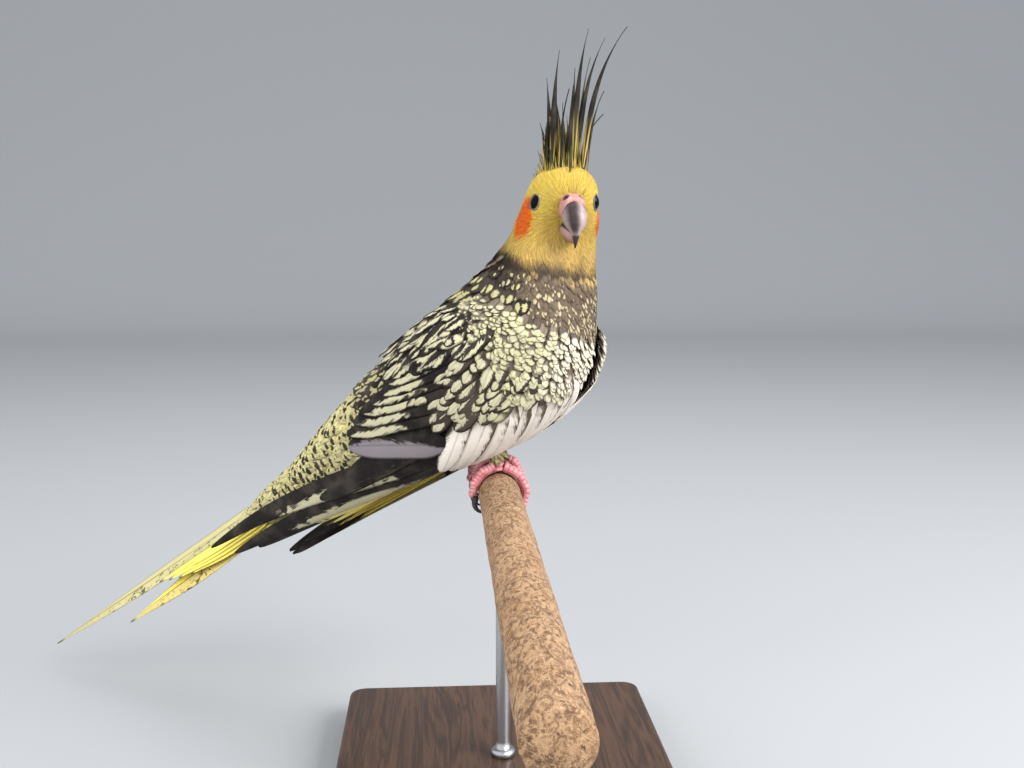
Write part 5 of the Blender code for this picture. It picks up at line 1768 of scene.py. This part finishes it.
def make_stand():
    """The perch and the rods as turned forms, and a finer finish on the base plate.

    The perch's ends are rounded by a quarter circle, and low waves of angle and place ripple its
    surface."""
    s = np.linspace(0, 1, 260)
    y = (s - 0.5) * PERCH_LENGTH
    end = np.minimum(y + PERCH_LENGTH / 2, PERCH_LENGTH / 2 - y)
    edge = 1 - np.clip(end / PERCH_EDGE, 0, 1)
    radius = PERCH_RADIUS - PERCH_EDGE * (1 - np.sqrt(np.clip(1 - edge**2, 0, 1)))
    b = circle(96)[None]
    knobs = 0.07 * np.sin(y[:, None] * 0.11 + 2 * b) + 0.05 * np.sin(y[:, None] * 0.31 - 3 * b)
    reach = radius[:, None] + knobs * np.minimum(1, end / 3)[:, None] - 0.06
    height = PERCH_TOP - PERCH_RADIUS + reach * np.sin(b)
    turned_form(
        "branch_perch", reach * np.cos(b), y[:, None], height, True, perch_finish(),
        "perch", "perch",
    )
    steel = steel_finish()
    low, high = 12.1, PERCH_TOP - 2 * PERCH_RADIUS + 4.0
    b = circle(48)[None]
    for label, place in zip(("front", "back"), ROD_PLACES):
        z = np.concatenate([[low, low, low + 2.0, low + 2.6], np.linspace(low + 2.61, high, 30)])
        r = np.concatenate([[0.5, 4.2, 4.2, ROD_RADIUS + 0.3], np.full(30, ROD_RADIUS)])[:, None]
        turned_form(
            f"steel_rod_{label}", r * np.cos(b), place + r * np.sin(b), z[:, None], False,
            steel, "metal", f"stand_rod_{label}",
        )
    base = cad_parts["stand_base"]
    wood = base_finish()
    for i in range(len(base.material_slots)):
        base.material_slots[i].material = wood


def make_studio():
    """A pale floor that curves up behind, three soft lights, a pale world and the camera."""
    s = np.linspace(0, 1, 60)
    flat = np.minimum(s / 0.6, 1.0)
    rise = np.clip((s - 0.6) / 0.4, 0, 1)
    y = -3.0 + 5.0 * flat + 1.2 * np.sin(rise * math.pi / 2)
    z = 3.0 * (1 - np.cos(rise * math.pi / 2))
    x = np.linspace(-4, 4, 12)
    grid = np.stack(np.broadcast_arrays(x[None], y[:, None], z[:, None]), -1)
    rows, columns = grid.shape[:2]
    r, k = np.meshgrid(np.arange(rows - 1), np.arange(columns - 1), indexing="ij")
    here, below = r * columns + k, (r + 1) * columns + k
    quads = np.stack([here, here + 1, below + 1, below], -1)
    mesh = bpy.data.meshes.new("floor")
    mesh.from_pydata(grid.reshape(-1, 3).tolist(), [], quads.reshape(-1, 4).tolist())
    mesh.polygons.foreach_set("use_smooth", np.full(len(mesh.polygons), True))
    f = Finish("pale_floor")
    mesh.materials.append(f.end(Base_Color=FLOOR_COLOUR, Roughness=0.8))
    floor = bpy.data.objects.new("floor", mesh)
    bpy.context.scene.collection.objects.link(floor)
    world = bpy.data.worlds.new("pale_room")
    world.use_nodes = True
    sky = world.node_tree.nodes["Background"].inputs
    sky["Color"].default_value = (*SKY_COLOUR, 1.0)
    sky["Strength"].default_value = SKY_STRENGTH
    bpy.context.scene.world = world
    for name, power, size, place, aim in LIGHTS:
        lamp = bpy.data.lights.new(name, "AREA")
        lamp.energy, lamp.size = power, size
        light = bpy.data.objects.new(name, lamp)
        light.location = place
        to = np.array(aim) - np.array(place)
        tilt = math.atan2(math.hypot(to[0], to[1]), -to[2])
        light.rotation_euler = (tilt, 0.0, math.atan2(-to[0], to[1]))
        light.visible_glossy = name == "window_light"
        bpy.context.scene.collection.objects.link(light)
    bpy.context.scene.view_settings.view_transform = "Standard"
    lens = bpy.data.cameras.new("camera")
    lens.lens, lens.sensor_width = LENS, SENSOR
    lens.clip_start = 0.01
    camera = bpy.data.objects.new("camera", lens)
    camera.location = CAMERA_PLACE
    camera.rotation_euler = [math.radians(turn) for turn in CAMERA_TURN]
    bpy.context.scene.collection.objects.link(camera)
    bpy.context.scene.camera = camera


make_skin()
make_head_coat()
make_breast_coat()
make_back_coat()
make_leg_coat()
for each_side in (1, -1):
    make_wing(each_side)
make_tail()
make_crest()
make_bill()
make_eyes()
make_feet()
make_stand()
make_studio()
